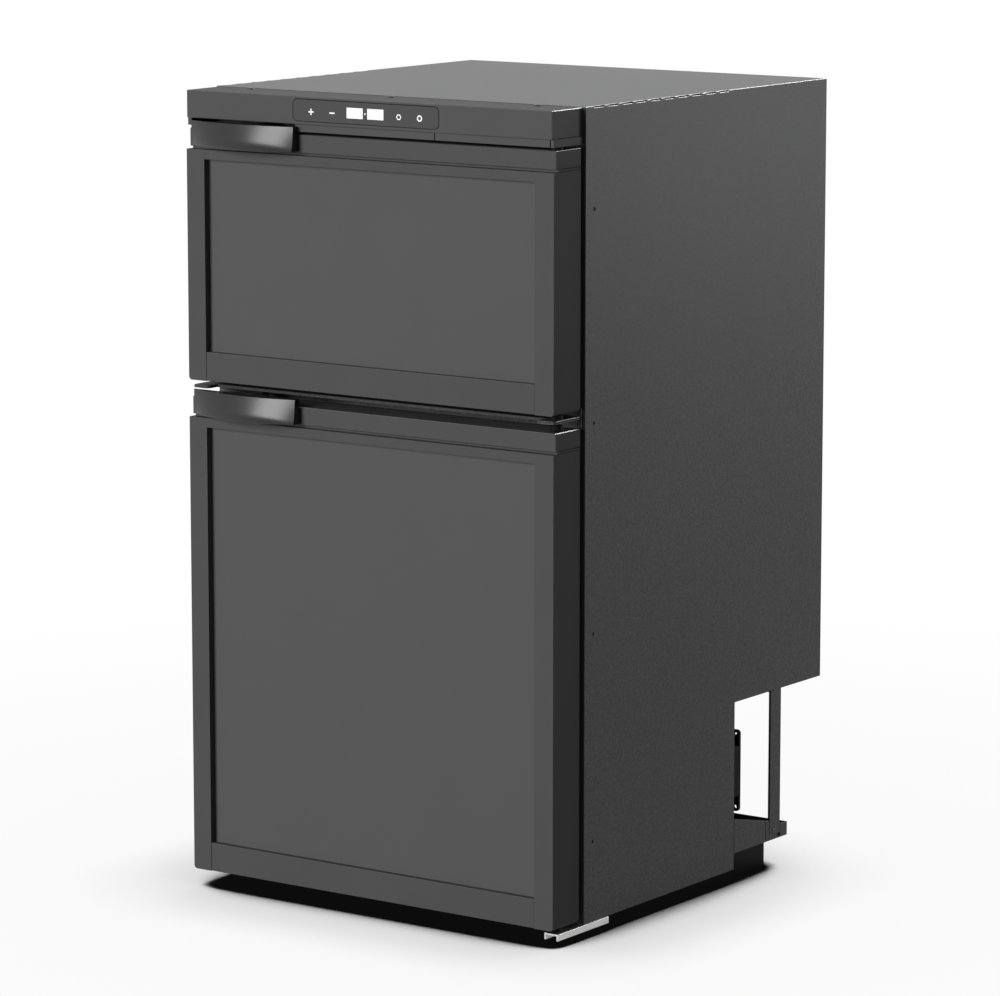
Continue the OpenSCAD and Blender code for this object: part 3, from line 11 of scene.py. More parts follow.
import bmesh
import bpy
from mathutils import Matrix, Vector

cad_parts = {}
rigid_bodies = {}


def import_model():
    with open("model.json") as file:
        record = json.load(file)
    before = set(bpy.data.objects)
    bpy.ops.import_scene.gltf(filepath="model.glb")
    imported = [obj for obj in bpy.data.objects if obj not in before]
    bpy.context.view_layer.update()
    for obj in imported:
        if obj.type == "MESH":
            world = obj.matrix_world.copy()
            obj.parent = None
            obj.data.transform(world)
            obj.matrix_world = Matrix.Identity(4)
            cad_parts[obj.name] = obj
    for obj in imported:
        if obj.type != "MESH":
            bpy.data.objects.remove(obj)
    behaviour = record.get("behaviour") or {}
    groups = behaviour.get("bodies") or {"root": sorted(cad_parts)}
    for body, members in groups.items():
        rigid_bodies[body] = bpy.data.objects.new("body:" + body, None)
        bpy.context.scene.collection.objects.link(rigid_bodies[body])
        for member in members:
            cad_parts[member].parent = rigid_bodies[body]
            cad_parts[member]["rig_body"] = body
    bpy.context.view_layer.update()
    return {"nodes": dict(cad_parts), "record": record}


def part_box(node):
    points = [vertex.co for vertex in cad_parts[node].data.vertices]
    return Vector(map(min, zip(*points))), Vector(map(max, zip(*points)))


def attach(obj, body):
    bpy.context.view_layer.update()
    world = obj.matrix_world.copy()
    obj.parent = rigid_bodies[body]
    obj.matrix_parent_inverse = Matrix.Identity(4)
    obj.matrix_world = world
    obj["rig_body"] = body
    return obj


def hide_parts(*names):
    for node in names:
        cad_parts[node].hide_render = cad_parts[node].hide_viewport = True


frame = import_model()
nodes = frame["nodes"]

# %% [markdown]
# ## Where things are
# The casing's own measures start at its front plane and its bottom edge, in millimetres.
# One small function moves such a point to the frame's origin on the floor.

# %% Measures of the real object, in millimetres
FRONT_SHIFT = 191.5
FOOT = 16.0
MM = 0.001


def at(x, y, z):
    """A point in the casing's own measure, as a vector in the frame, in metres."""
    return Vector((x, y - FRONT_SHIFT, z + FOOT)) * MM


def from_frame(place):
    """The way back: a place in the frame, in the casing's own millimetres."""
    return Vector(place) / MM + Vector((0.0, FRONT_SHIFT, -FOOT))


def new_object(name, mesh):
    piece = bpy.data.objects.new(name, mesh)
    bpy.context.scene.collection.objects.link(piece)
    return piece


# %% [markdown]
# ## Writing shader maths as plain expressions
# A material is a graph of nodes. Wiring each Math node by hand is slow to read, so a small
# class wraps an output socket and lets Python's + - * / build the nodes. The same classes
# serve the materials, the world and, further below, the Geometry Nodes.

# %% A socket that can be added and multiplied
class Value:
    def __init__(self, graph, socket):
        self.graph = graph
        self.socket = socket

    def _maths(self, operation, first, second):
        return self.graph.node("ShaderNodeMath", {"operation": operation}, {0: first, 1: second})

    def __add__(self, other):
        return self._maths("ADD", self, other)

    __radd__ = __add__

    def __sub__(self, other):
        return self._maths("SUBTRACT", self, other)

    def __rsub__(self, other):
        return self._maths("SUBTRACT", other, self)

    def __mul__(self, other):
        return self._maths("MULTIPLY", self, other)

    __rmul__ = __mul__

    def __truediv__(self, other):
        return self._maths("DIVIDE", self, other)

    def __rtruediv__(self, other):
        return self._maths("DIVIDE", other, self)

    def at_least(self, low):
        return self._maths("MAXIMUM", self, low)

    def clamp(self, low, high):
        return self._maths("MINIMUM", self.at_least(low), high)


# %% A graph of nodes
class Graph:
    """The nodes of a material, of the world or of a recipe."""

    def __init__(self, tree):
        self.tree = tree

    def node(self, kind, settings=None, inputs=None, output=0):
        """Adds a node: its settings first, then the values or links of its sockets."""
        made = self.tree.nodes.new(kind)
        for key, value in (settings or {}).items():
            if key == "stops":
                while len(made.color_ramp.elements) < len(value):
                    made.color_ramp.elements.new(0.5)
                for element, (place, grey) in zip(made.color_ramp.elements, value):
                    element.position = place
                    element.color = (grey, grey, grey, 1.0)
            else:
                setattr(made, key, value)
        for key, value in (inputs or {}).items():
            self.plug(made.inputs[key], value)
        return Value(self, made.outputs[output])

    def plug(self, socket, value):
        if isinstance(value, Value):
            self.tree.links.new(value.socket, socket)
        else:
            socket.default_value = value


# %% A finish: one material with a principled shader
def shade(colour, factor):
    return tuple(min(1.0, channel * factor) for channel in colour)


class Finish(Graph):
    def __init__(self, name, **constants):
        self.material = bpy.data.materials.new(name)
        self.material.use_nodes = True
        super().__init__(self.material.node_tree)
        self.shader = self.tree.nodes["Principled BSDF"]
        for socket, value in constants.items():
            self.set(socket.replace("_", " "), value)

    def set(self, socket, value):
        if isinstance(value, tuple) and len(value) == 3:
            value = (*value, 1.0)
        self.plug(self.shader.inputs[socket], value)

    def place(self, scale=(1.0, 1.0, 1.0)):
        """Object coordinates, stretched by a scale on each axis."""
        where = self.node("ShaderNodeTexCoord", output="Object")
        return self.node("ShaderNodeMapping", {}, {"Vector": where, "Scale": scale})

    def noise(self, scale, detail=2.0, roughness=0.5, stretch=(1.0, 1.0, 1.0)):
        return self.node("ShaderNodeTexNoise", {},
                         {"Vector": self.place(stretch), "Scale": scale, "Detail": detail,
                          "Roughness": roughness})

    def mottle(self, pattern, colour, darker, lighter=None):
        """Lets the colour run from darker to lighter with a pattern."""
        low, high = shade(colour, 1 - darker), shade(colour, 1 + (lighter or darker))
        self.set("Base Color", self.node("ShaderNodeMix", {"data_type": "RGBA"},
                                         {0: pattern, 6: (*low, 1.0), 7: (*high, 1.0)}, output=2))

    def bump(self, height, strength, distance):
        self.set("Normal", self.node("ShaderNodeBump", {},
                                     {"Strength": strength, "Distance": distance, "Height": height}))


# %% [markdown]
# ## The finishes
# Moulded plastic has a fine spark-eroded grain: thousands of tiny dimples that blur its
# gloss. Painted sheet has a coarser speckle in its coat. Each function below makes one such
# finish from a colour, so that every piece of a kind can share the recipe.

# %% Moulded plastic
def moulded(name, colour, roughness=0.5, grain=2600.0, depth=0.00004, mottling=0.06,
            specular=0.04):
    finish = Finish(name, Specular_IOR_Level=specular)
    cloud = finish.noise(14.0, 3.0)
    pores = finish.noise(grain, 2.0, 0.6)
    finish.mottle(cloud, colour, mottling)
    finish.set("Roughness", (roughness - 0.05 + 0.1 * pores).clamp(0.05, 1.0))
    finish.bump(pores, 0.35, depth)
    return finish.material


# %% Painted sheet steel
def painted_sheet(name, colour, roughness=0.45, speckle=520.0, contrast=0.6, depth=0.00005,
                  specular=0.14):
    finish = Finish(name, Specular_IOR_Level=specular)
    dots = finish.noise(speckle, 3.0, 0.7)
    cloud = finish.noise(6.0, 3.0)
    tone = (0.5 + (dots - 0.5) * contrast * 4.0 + (cloud - 0.5) * 0.3).clamp(0.0, 1.0)
    finish.mottle(tone, colour, contrast)
    finish.set("Roughness", (roughness + (dots - 0.5) * 0.2).clamp(0.1, 1.0))
    finish.bump(dots, 0.3, depth)
    return finish.material


# %% Bare metal with a drawn grain
def drawn_metal(name, colour, roughness=0.3, grain=700.0, stretch=(1.0, 0.04, 1.0),
                streak=0.12):
    finish = Finish(name, Metallic=1.0)
    lines = finish.noise(grain, 3.0, 0.6, stretch)
    cloud = finish.noise(25.0, 2.0)
    finish.mottle(lines, colour, streak)
    finish.set("Roughness", (roughness - 0.08 + 0.1 * lines + 0.08 * cloud).clamp(0.05, 1.0))
    finish.bump(lines, 0.15, 0.00003)
    return finish.material


# %% Rubber, foam and clear plastic
def soft_rubber(name, colour, roughness=0.62):
    finish = Finish(name, Specular_IOR_Level=0.25)
    dust = finish.noise(60.0, 4.0, 0.6)
    finish.mottle(dust, colour, 0.2, 0.5)
    finish.set("Roughness", (roughness + (dust - 0.5) * 0.2).clamp(0.1, 1.0))
    finish.bump(finish.noise(1800.0, 2.0), 0.3, 0.00005)
    return finish.material


def foamed(name, colour):
    finish = Finish(name)
    cells = finish.node("ShaderNodeTexVoronoi", {}, {"Vector": finish.place(), "Scale": 900.0})
    finish.mottle(cells, colour, 0.4, 0.15)
    finish.set("Roughness", 0.9)
    finish.bump(cells, 0.6, 0.0004)
    return finish.material


def clear(name, colour, alpha, roughness=0.08):
    finish = Finish(name, IOR=1.5)
    haze = finish.noise(35.0, 3.0)
    finish.mottle(haze, colour, 0.06, 0.04)
    finish.set("Alpha", (alpha - 0.04 + 0.08 * haze).clamp(0.0, 1.0))
    finish.set("Roughness", (roughness + 0.06 * haze).clamp(0.02, 1.0))
    return finish.material


# %% The palette: one finish for each material slot of the record
DOOR_GREY = (0.081, 0.081, 0.083)
CASING_GREY = (0.105, 0.106, 0.108)
finishes = {
    # Painted shade: the side steel takes the casing grey at nine tenths, darker than the top's paint,
    # because less light falls on the sides.
    "side_steel": painted_sheet("casing_paint", shade(CASING_GREY, 0.9)),
    "top_steel": painted_sheet("casing_top_paint", CASING_GREY, 0.38),
    "black_steel": painted_sheet("black_paint", (0.014, 0.014, 0.015), 0.4),
    "grey_steel": painted_sheet("bar_paint", (0.06, 0.06, 0.063), 0.5, specular=0.05),
    "bright_steel": drawn_metal("zinc_steel", (0.62, 0.62, 0.61), 0.26),
    "cold_plate": drawn_metal("rolled_aluminium", (0.74, 0.75, 0.76), 0.34),
    "rack_wire": moulded("white_wire", (0.78, 0.79, 0.8), 0.3, specular=0.5),
    "copper": drawn_metal("copper_tube", (0.72, 0.36, 0.22), 0.3),
    "dark_plastic": moulded("fascia_plastic", DOOR_GREY, 0.5, specular=0.07),
    "door_plastic": moulded("door_plastic", DOOR_GREY),
    "decor_panel": moulded("decor_panel", (0.096, 0.096, 0.098), 0.5, 3400.0, 0.00002, 0.03),
    "black_plastic": moulded("black_plastic", (0.019, 0.019, 0.020), 0.27, 3200.0, 0.00001,
                             specular=0.32),
    "touch_face": moulded("touch_face", (0.078, 0.078, 0.080), 0.4, 5000.0, 0.00001, 0.02),
    "symbol_white": Finish("lit_symbols", Base_Color=(0.85, 0.85, 0.85), Roughness=0.3,
                           Emission_Color=(1.0, 1.0, 1.0), Emission_Strength=0.12).material,
    "board": moulded("circuit_board", (0.008, 0.03, 0.014), 0.35, specular=0.1),
    "white_plastic": moulded("white_liner", (0.76, 0.77, 0.78), 0.28, 500.0, 0.00006, 0.015, 0.5),
    "trim_plastic": moulded("shelf_trim", (0.42, 0.43, 0.44), 0.3, specular=0.5),
    "bush_plastic": moulded("bush_nylon", (0.025, 0.025, 0.026), 0.5),
    "clear_plastic": clear("clear_plastic", (0.78, 0.83, 0.87), 0.42, 0.1),
    "shelf_glass": clear("shelf_glass", (0.72, 0.85, 0.82), 0.3, 0.03),
    "lamp_lens": moulded("lamp_lens", (0.85, 0.86, 0.84), 0.2, specular=0.5),
    "rubber": soft_rubber("gasket_rubber", (0.018, 0.018, 0.019)),
    # Painted shade: the foam takes a near-black grey because it is seen only through the casing's
    # slots, where it lies in shade.
    "foam": foamed("rigid_foam", (0.035, 0.035, 0.036)),
}
# A near-black finish. On the hinge pins, latch strikes and door bushes it is painted shade: they sit
# in the shade of the door gaps. The skids and the fan parts take it too.
dark_steel = painted_sheet("dark_steel", (0.008, 0.008, 0.009), 0.5, specular=0.04)
own_finishes = {name: dark_steel for name in (
    "latch_strikes", "hinge_pins", "freezer_door_bushes", "fridge_door_bushes", "skid_rails",
    "fan_frame", "fan_guard", "fan_rotor")}
own_finishes["panel_screws"] = moulded("black_screws", (0.02, 0.02, 0.021), 0.25, specular=0.5)
polished_edge = moulded("polished_edge", (0.085, 0.085, 0.086), 0.24, specular=0.5)
slot_of = {row["node"]: row["material_slot"] for row in frame["record"]["subparts"]}
for name, node in nodes.items():
    node.data.materials.clear()
    node.data.materials.append(finishes[slot_of[name]])
print("finishes:", len(finishes))


# %% [markdown]
# ## Turning a model into a finished piece
# Every piece below goes through the same last steps: its modifiers become plain mesh, it gets
# the finish of its material slot, it rides on a body, and it stands for a CAD node.

# %% The last steps of every piece
def flatten(piece):
    """Turns the evaluated object into a plain mesh and drops its modifiers."""
    graph = bpy.context.evaluated_depsgraph_get()
    mesh = bpy.data.meshes.new_from_object(piece.evaluated_get(graph))
    piece.modifiers.clear()
    piece.data = mesh
    return piece


def finish_for(name, slot=None):
    """The finish of a node: its own where it has one, otherwise the one of its slot."""
    if slot is None and name in own_finishes:
        return own_finishes[name]
    return finishes[slot or slot_of[name]]


def settle(piece, name, slot=None):
    """Gives a piece its finish and body, and lets it stand for the CAD node of that name."""
    if len(piece.data.materials) == 2:
        piece.data.materials[0] = finish_for(name, slot)
    else:
        piece.data.materials.clear()
        piece.data.materials.append(finish_for(name, slot))
    slot = slot or slot_of[name]
    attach(piece, nodes[name]["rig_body"])
    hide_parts(name)
    return piece


def extent(name):
    """A node's lowest and highest corner in the casing's own measure, in millimetres."""
    return tuple(from_frame(corner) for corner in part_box(name))


# %% [markdown]
# ## Softening the edges
# A moulded or bent edge is never a perfect corner: it has a small round that catches a thin
# line of light. A copy of each CAD node is cleaned into large flat faces, and a Bevel
# modifier cuts its edges: a flat chamfer on the cabinet and the doors, whose edges glint in a
# thin even line, and a round elsewhere. Edges inside a fine zone, such as the touch panel's
# opening, get a narrower cut.

# %% A softened copy of a CAD node
SHARP, FLAT = math.radians(32), math.radians(0.5)
SHORTEST = 0.3
MERGE = 2e-6


def mesh_from(form, label):
    """A new mesh with the form's faces; the form itself is freed."""
    mesh = bpy.data.meshes.new(label)
    form.to_mesh(mesh)
    form.free()
    return mesh


def merged(name):
    """A copy of a CAD node's loose triangles with their shared corners merged."""
    form = bmesh.new()
    form.from_mesh(nodes[name].data)
    bmesh.ops.remove_doubles(form, verts=form.verts, dist=MERGE)
    return form


def weigh_edges(form, fine=None):
    """Marks the sharp edges for the bevel; those inside the fine zone get a narrower one."""
    weight = form.edges.layers.float.new("bevel_weight_edge")
    for edge in form.edges:
        sharp = edge.is_manifold and edge.calc_face_angle(0.0) > SHARP
        sharp = sharp and edge.calc_length() > SHORTEST * MM
        within = fine and all(
            all(low <= value <= high for low, value, high in zip(fine[0], corner.co, fine[1]))
            for corner in edge.verts)
        edge[weight] = 0.0 if not sharp else fine[2] if within else 1.0
        edge.smooth = not sharp
    for face in form.faces:
        face.smooth = True


def round_edges(piece, width, segments=2):
    """Cuts the weighted edges. One segment is a flat chamfer, with a finish of its own."""
    flat = segments == 1
    if flat:
        for _ in range(2):  # the first gives way to the piece's own finish in settle()
            piece.data.materials.append(polished_edge)
    bevel = piece.modifiers.new("edge", "BEVEL")
    for key, value in {"width": width * MM, "segments": segments, "limit_method": "WEIGHT",
                       "miter_outer": "MITER_ARC", "harden_normals": not flat,
                       "material": int(flat), "use_clamp_overlap": not flat}.items():
        setattr(bevel, key, value)
    flatten(piece)
    if flat:
        keep_flat(piece.data)
    return piece


def keep_flat(mesh):
    """Lets the flat faces and the chamfers between them each keep one even tone."""
    form = bmesh.new()
    form.from_mesh(mesh)
    for edge in form.edges:
        edge.smooth = edge.calc_face_angle(0.0) < SHARP
    form.to_mesh(mesh)
    form.free()


def soften(name, width, segments=2, fine=None):
    """A copy of a node with large flat faces and cut edges. Before a round, frames are split,
    because a face that runs round an opening would close over it."""
    form = merged(name)
    bmesh.ops.dissolve_limit(form, angle_limit=FLAT, verts=form.verts, edges=form.edges)
    if segments > 1:
        bmesh.ops.connect_verts_concave(form, faces=form.faces)
    weigh_edges(form, fine)
    mesh = mesh_from(form, "soft_" + name)
    if "custom_normal" in mesh.attributes:
        mesh.attributes.remove(mesh.attributes["custom_normal"])
    piece = round_edges(new_object("soft_" + name, mesh), width, segments)
    return settle(piece, name)


def paint_shade_on_outer_edge(liner, low, high, lip=1.7):
    """Paints the white liner's outer edge and its forward faces in the dark door plastic, as painted
    shade: this edge is seen only in the shade of the door gaps.
    """
    liner.data.materials.append(finishes["door_plastic"])
    for face in liner.data.polygons:
        inset = min(min(face.center[axis] - low[axis], high[axis] - face.center[axis])
                    for axis in (0, 2))
        # Painted shade: faces within 1.7 mm of the edge, and those facing forwards, take the door
        # plastic.
        if inset < lip * MM or face.normal.y < -0.5:
            face.material_index = 1


# %% Which edges get how much, in millimetres
OUTLINE_CUT = 0.35
touch_low, touch_high = (Vector(corner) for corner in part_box("touch_panel"))
TOUCH_ZONE = (touch_low - Vector((2, 2, 2)) * MM, touch_high + Vector((2, 2, 2)) * MM, 0.45)
SYMBOL_ZONE = (touch_low + Vector((2, -1, 1.5)) * MM, touch_high - Vector((2, -1, 1.5)) * MM, 0.0)
CHAMFERS = {
    0.6: "freezer_door_cap fridge_door_cap",
    0.5: "middle_hinge_bar",
    0.4: "right_side_panel left_side_panel",
    0.35: "freezer_door_strip fridge_door_strip",
    0.3: "freezer_door_panel fridge_door_panel",
    0.25: "top_panel",
}
ROUNDS = {
    1.6: "freezer_door_liner fridge_door_liner cabin_lamp",
    1.4: "fridge_liner",
    1.2: "freezer_liner shelf_trims",
    0.8: "skid_rails crisper_runners crisper_drawer",
    0.6: "freezer_door_frame fridge_door_frame",
    0.5: "glass_shelves",
    0.4: "fascia_trim frame_posts fan_frame freezer_door_bushes fridge_door_bushes hinge_pins "
         "freezer_evaporator fridge_evaporator foam_insulation freezer_door_foam fridge_door_foam",
    0.35: "hinge_brackets",
    0.3: "latch_strikes compressor_tray front_frame bay_panel back_panel bottom_pan",
    0.25: "control_board",
}
soften("control_fascia", 0.6, 1, TOUCH_ZONE)
touch = soften("touch_panel", 0.2, 1, SYMBOL_ZONE)
for corner in touch.data.vertices:
    for axis in (0, 2):
        for edge, inward in ((SYMBOL_ZONE[0][axis], 1), (SYMBOL_ZONE[1][axis], -1)):
            if (edge - corner.co[axis]) * inward > 0.0:
                corner.co[axis] += inward * OUTLINE_CUT * MM
softened = ["control_fascia", "touch_panel"]
for widths, segments in ((CHAMFERS, 1), (ROUNDS, 2)):
    for width, names in widths.items():
        for name in names.split():
            soften(name, width, segments)
            softened.append(name)
# Painted shade on the liners' outer edges, where they show through the door gaps.
for name in ("freezer_door_liner", "fridge_door_liner"):
    paint_shade_on_outer_edge(bpy.data.objects["soft_" + name], *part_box(name))
print("softened:", len(softened))


# %% [markdown]
# ## Building pieces from rings
# Most moulded and pressed pieces can be drawn as a stack of rings, like ribs inside a boat's
# hull. Neighbouring rings are joined by strips of faces, and the first and last ring are
# closed. One small class does that for every piece that follows.

# %% A form that grows ring by ring
class Form:
    def __init__(self):
        self.mesh = bmesh.new()

    def corners(self, ring):
        return [self.mesh.verts.new(at(*point)) for point in ring]

    def strip(self, first, second, closed=True):
        count = len(first)
        for i in range(count if closed else count - 1):
            j = (i + 1) % count
            self.mesh.faces.new((first[i], first[j], second[j], second[i]))

    def loft(self, rings, loop=False):
        """Joins rings of equal count; a loop joins the last to the first, or both ends are closed."""
        rows = [self.corners(ring) for ring in rings]
        for first, second in zip(rows, rows[1:]):
            self.strip(first, second)
        if loop:
            self.strip(rows[-1], rows[0])
        else:
            self.mesh.faces.new(rows[0])
            self.mesh.faces.new(rows[-1])
        return self

    def box(self, low, high):
        plan = [(low[0], low[1]), (high[0], low[1]), (high[0], high[1]), (low[0], high[1])]
        return self.loft([[(x, y, z) for x, y in plan] for z in (low[2], high[2])])

    def rod(self, start, end, radius, sides=20):
        start, end = Vector(start), Vector(end)
        turn = (end - start).to_track_quat("Z", "Y")
        steps = [math.tau * i / sides for i in range(sides)]
        around = [turn @ Vector((math.cos(a), math.sin(a), 0.0)) * radius for a in steps]
        return self.loft([[base + spoke for spoke in around] for base in (start, end)])

    def lathe(self, profile, centre, axis="Z", sides=64):
        """Turns a profile of radius and height pairs about an axis through the centre."""
        rings = []
        for radius, height in profile:
            ring = []
            for i in range(sides):
                a = math.tau * i / sides
                u, v = radius * math.cos(a), radius * math.sin(a)
                offset = (u, v, height) if axis == "Z" else (u, height, v)
                ring.append(Vector(centre) + Vector(offset))
            rings.append(ring)
        return self.loft(rings)

    def closed(self, label, edge=0.0, segments=2):
        """An object of the form: seams merged, normals outwards, and edges rounded."""
        bmesh.ops.remove_doubles(self.mesh, verts=self.mesh.verts, dist=1e-7)
        bmesh.ops.recalc_face_normals(self.mesh, faces=self.mesh.faces)
        weigh_edges(self.mesh)
        made = new_object(label, mesh_from(self.mesh, label))
        return round_edges(made, edge, segments) if edge > 0.0 else made

    def plain(self, edge=0.0):
        """The closed form as a bare mesh, for a recipe to copy."""
        helper = self.closed("helper", edge)
        mesh = helper.data
        bpy.data.objects.remove(helper)
        return mesh

    def piece(self, label, name, edge=0.0, segments=2, slot=None):
        return settle(self.closed(label, edge, segments), name, slot)


# %% Rings with round corners
def plan_ring(low, high, radius, steps=5):
    """A rectangle with round corners as pairs, from its lower left round."""
    corners = ((low[0] + radius, low[1] + radius, 180), (high[0] - radius, low[1] + radius, 270),
               (high[0] - radius, high[1] - radius, 0), (low[0] + radius, high[1] - radius, 90))
    ring = []
    for x, y, start in corners:
        for i in range(steps + 1):
            a = math.radians(start + 90 * i / steps)
            ring.append((x + radius * math.cos(a), y + radius * math.sin(a)))
    return ring


def flat_ring(low, high, radius, z, steps=5):
    """A level ring at a height."""
    return [(x, y, z) for x, y in plan_ring(low, high, radius, steps)]


def upright_ring(low, high, radius, y, steps=5):
    """An upright ring at a depth; its corners are pairs of X and Z."""
    return [(x, y, z) for x, z in plan_ring(low, high, radius, steps)]


# %% [markdown]
# ## The bowed handles
# Each handle is one hollow moulding. Its front bows outwards, and a lip flares from nothing at
# the ends to its widest below the middle, so that fingers can pull it. A stack of profiles
# along its length gives that surface: each profile runs over the roof and down the front.

# %% The handle's surface
GRIP_BOW, GRIP_REACH = 216.0, 70.0
LIP_BOW, LIP_REACH = 130.0, 80.0
BOW_X = -150.0
GRIP_BACK, CAP_SIDE = -54.2, -51.8
GRIP_WALL = 2.6
STRAIGHT, LIP_POWER, LIP_RISE = 0.64, 8.0, 1.6
STATIONS, FRONT_STEPS = 44, 20
TOP_RISE = 8.5
EAR_X, EAR_T, EAR_DROP, INSIDE = 50.5, 3.0, 5.0, 1.5
STUB_Y, STUB_RISE, STUB_R, STUB_REACH = -57.0, 1.0, 2.0, 4.0
LATCH_HALF, LATCH_X, CHEEK_T = 8.0, -159.5, 2.0
ARM_GAP, ARM_T = 0.3, 1.9
NOSE_FRONT, NOSE_BACK = -28.0, -24.0
NOSE_RISES = {"freezer_handle": 2.3, "fridge_handle": 6.7}


def bowed(x, radius=GRIP_BOW, reach=GRIP_REACH):
    """Depth of a bow's front at x; the bow's foremost point lies at reach."""
    return radius - reach - math.sqrt(radius ** 2 - (x - BOW_X) ** 2)


def grip_profile(x, top, bottom, wall):
    """One profile at x, from the roof's back edge down the flared front."""
    bow = bowed(x)
    room = bow - bowed(x, LIP_BOW, LIP_REACH)
    flare = 0.5 * (room + math.sqrt(room ** 2 + 1.0))
    flare *= 1.0 - math.exp(-max(room + 1.5, 0.0))
    line = [(x, GRIP_BACK, top - wall)]
    for i in range(FRONT_STEPS + 1):
        t = i / FRONT_STEPS
        y = bow + wall - flare * (STRAIGHT * t + (1 - STRAIGHT) * t ** LIP_POWER)
        line.append((x, min(y, GRIP_BACK - 0.3), top - wall - t * (top - wall - bottom)))
    return line


# %% A closed shell from an outer and an inner surface
def grip_shell(form, low, high):
    top, bottom = high.z, low.z + LIP_RISE
    walls = []
    for wall in (0.0, GRIP_WALL):
        first, last = low.x + wall, high.x - wall
        xs = [first + (last - first) * i / (STATIONS - 1) for i in range(STATIONS)]
        rows = [form.corners(grip_profile(x, top, bottom, wall)) for x in xs]
        ends = form.corners([(xs[0], CAP_SIDE, bottom), (xs[-1], CAP_SIDE, bottom)])
        for left, right in zip(rows, rows[1:]):
            form.strip(left, right, closed=False)
        form.mesh.faces.new(rows[0] + [ends[0]])
        form.mesh.faces.new(rows[-1] + [ends[1]])
        rim = [row[0] for row in rows] + [ends[1]] + [row[-1] for row in reversed(rows)] + [ends[0]]
        walls.append(rim)
    form.strip(walls[0], walls[1])


def grip(name):
    """A handle: its shell, two ears with pivot stubs, and a latch arm between two cheeks."""
    low, high = extent(name)
    door_top, inner_top, arm_front = high.z - TOP_RISE, high.z - INSIDE, -GRIP_REACH + 2.0
    form = Form()
    grip_shell(form, low, high)
    for side in (-1, 1):
        ear = BOW_X + side * EAR_X
        web = sorted((ear, ear + side * EAR_T))
        front = bowed(ear) + INSIDE
        form.box((web[0], front, door_top - EAR_DROP), (web[1], GRIP_BACK, inner_top))
        form.rod((ear + side * EAR_T / 2, STUB_Y, door_top + STUB_RISE),
                 (ear - side * STUB_REACH, STUB_Y, door_top + STUB_RISE), STUB_R)
    left, right = LATCH_X - LATCH_HALF, LATCH_X + LATCH_HALF
    arm = door_top + ARM_GAP
    form.box((left, arm_front, arm), (right, NOSE_BACK, arm + ARM_T))
    form.box((left, NOSE_FRONT, arm), (right, NOSE_BACK, door_top + NOSE_RISES[name]))
    for x in (left, right - CHEEK_T):
        form.box((x, arm_front, arm), (x + CHEEK_T, GRIP_BACK, inner_top))
    return form.piece("bowed_" + name, name, 0.7, 3)


for name in ("freezer_handle", "fridge_handle"):
    made = grip(name)
    print(made.name, "has", len(made.data.polygons), "faces")


# %% [markdown]
# ## Recipes for what repeats
# Fins, wires, blades, ribs, screws and bent tubes follow rules, so a Geometry Nodes tree makes
# them. Each recipe is built once by script, with named inputs, and can then serve many pieces.
# A recipe ends by making its copies real and giving them the finish.

# %% A recipe: one Geometry Nodes tree with named inputs
class Recipe(Graph):
    KINDS = {int: "NodeSocketInt", float: "NodeSocketFloat", tuple: "NodeSocketVector"}

    def __init__(self, name, **inputs):
        super().__init__(bpy.data.node_groups.new(name, "GeometryNodeTree"))
        self.keys = {}
        self.add_input("Geometry", "NodeSocketGeometry")
        for label, start in inputs.items():
            self.add_input(label, self.KINDS[type(start)]).default_value = start
        self.add_input("seed_piece", "NodeSocketObject")
        self.add_input("finish", "NodeSocketMaterial")
        self.tree.interface.new_socket("Geometry", in_out="OUTPUT", socket_type="NodeSocketGeometry")
        outputs = self.tree.nodes.new("NodeGroupInput").outputs
        self.given = {label: Value(self, outputs[label]) for label in self.keys}
        self.end = self.tree.nodes.new("NodeGroupOutput")

    def add_input(self, label, kind):
        socket = self.tree.interface.new_socket(label, in_out="INPUT", socket_type=kind)
        self.keys[label] = socket.identifier
        return socket

    def close(self, geometry):
        real = self.node("GeometryNodeRealizeInstances", {}, {"Geometry": geometry})
        done = self.node("GeometryNodeSetMaterial", {},
                         {"Geometry": real, "Material": self.given["finish"]})
        self.plug(self.end.inputs[0], done)
        return self

    def make(self, label, name, mesh, **values):
        """Runs the recipe on a mesh and settles the plain result as a piece."""
        piece = new_object(label, mesh)
        modifier = piece.modifiers.new("recipe", "NODES")
        modifier.node_group = self.tree
        values["finish"] = finish_for(name)
        for key, value in values.items():
            modifier[self.keys[key]] = value
        return settle(flatten(piece), name)


# %% Four recipes
def tube_recipe():
    """A round tube along a path of edges, with its corners bent."""
    recipe = Recipe("bent_tube", radius=0.002, bend=0.008, steps=8, sides=14)
    given = recipe.given
    path = recipe.node("GeometryNodeMeshToCurve", {}, {"Mesh": given["Geometry"]})
    bent = recipe.node("GeometryNodeFilletCurve", {"mode": "POLY"},
                       {"Curve": path, "Count": given["steps"], "Radius": given["bend"],
                        "Limit Radius": True})
    section = recipe.node("GeometryNodeCurvePrimitiveCircle", {},
                          {"Resolution": given["sides"], "Radius": given["radius"]})
    return recipe.close(recipe.node("GeometryNodeCurveToMesh", {},
                                    {"Curve": bent, "Profile Curve": section, "Fill Caps": True}))


def row_recipe():
    """Copies of one shape at equal steps along a line."""
    recipe = Recipe("row_of_copies", count=10, step=(0.01, 0.0, 0.0))
    given = recipe.given
    places = recipe.node("GeometryNodeMeshLine", {},
                         {"Count": given["count"], "Offset": given["step"]})
    return recipe.close(recipe.node("GeometryNodeInstanceOnPoints", {},
                                    {"Points": places, "Instance": given["Geometry"]}))


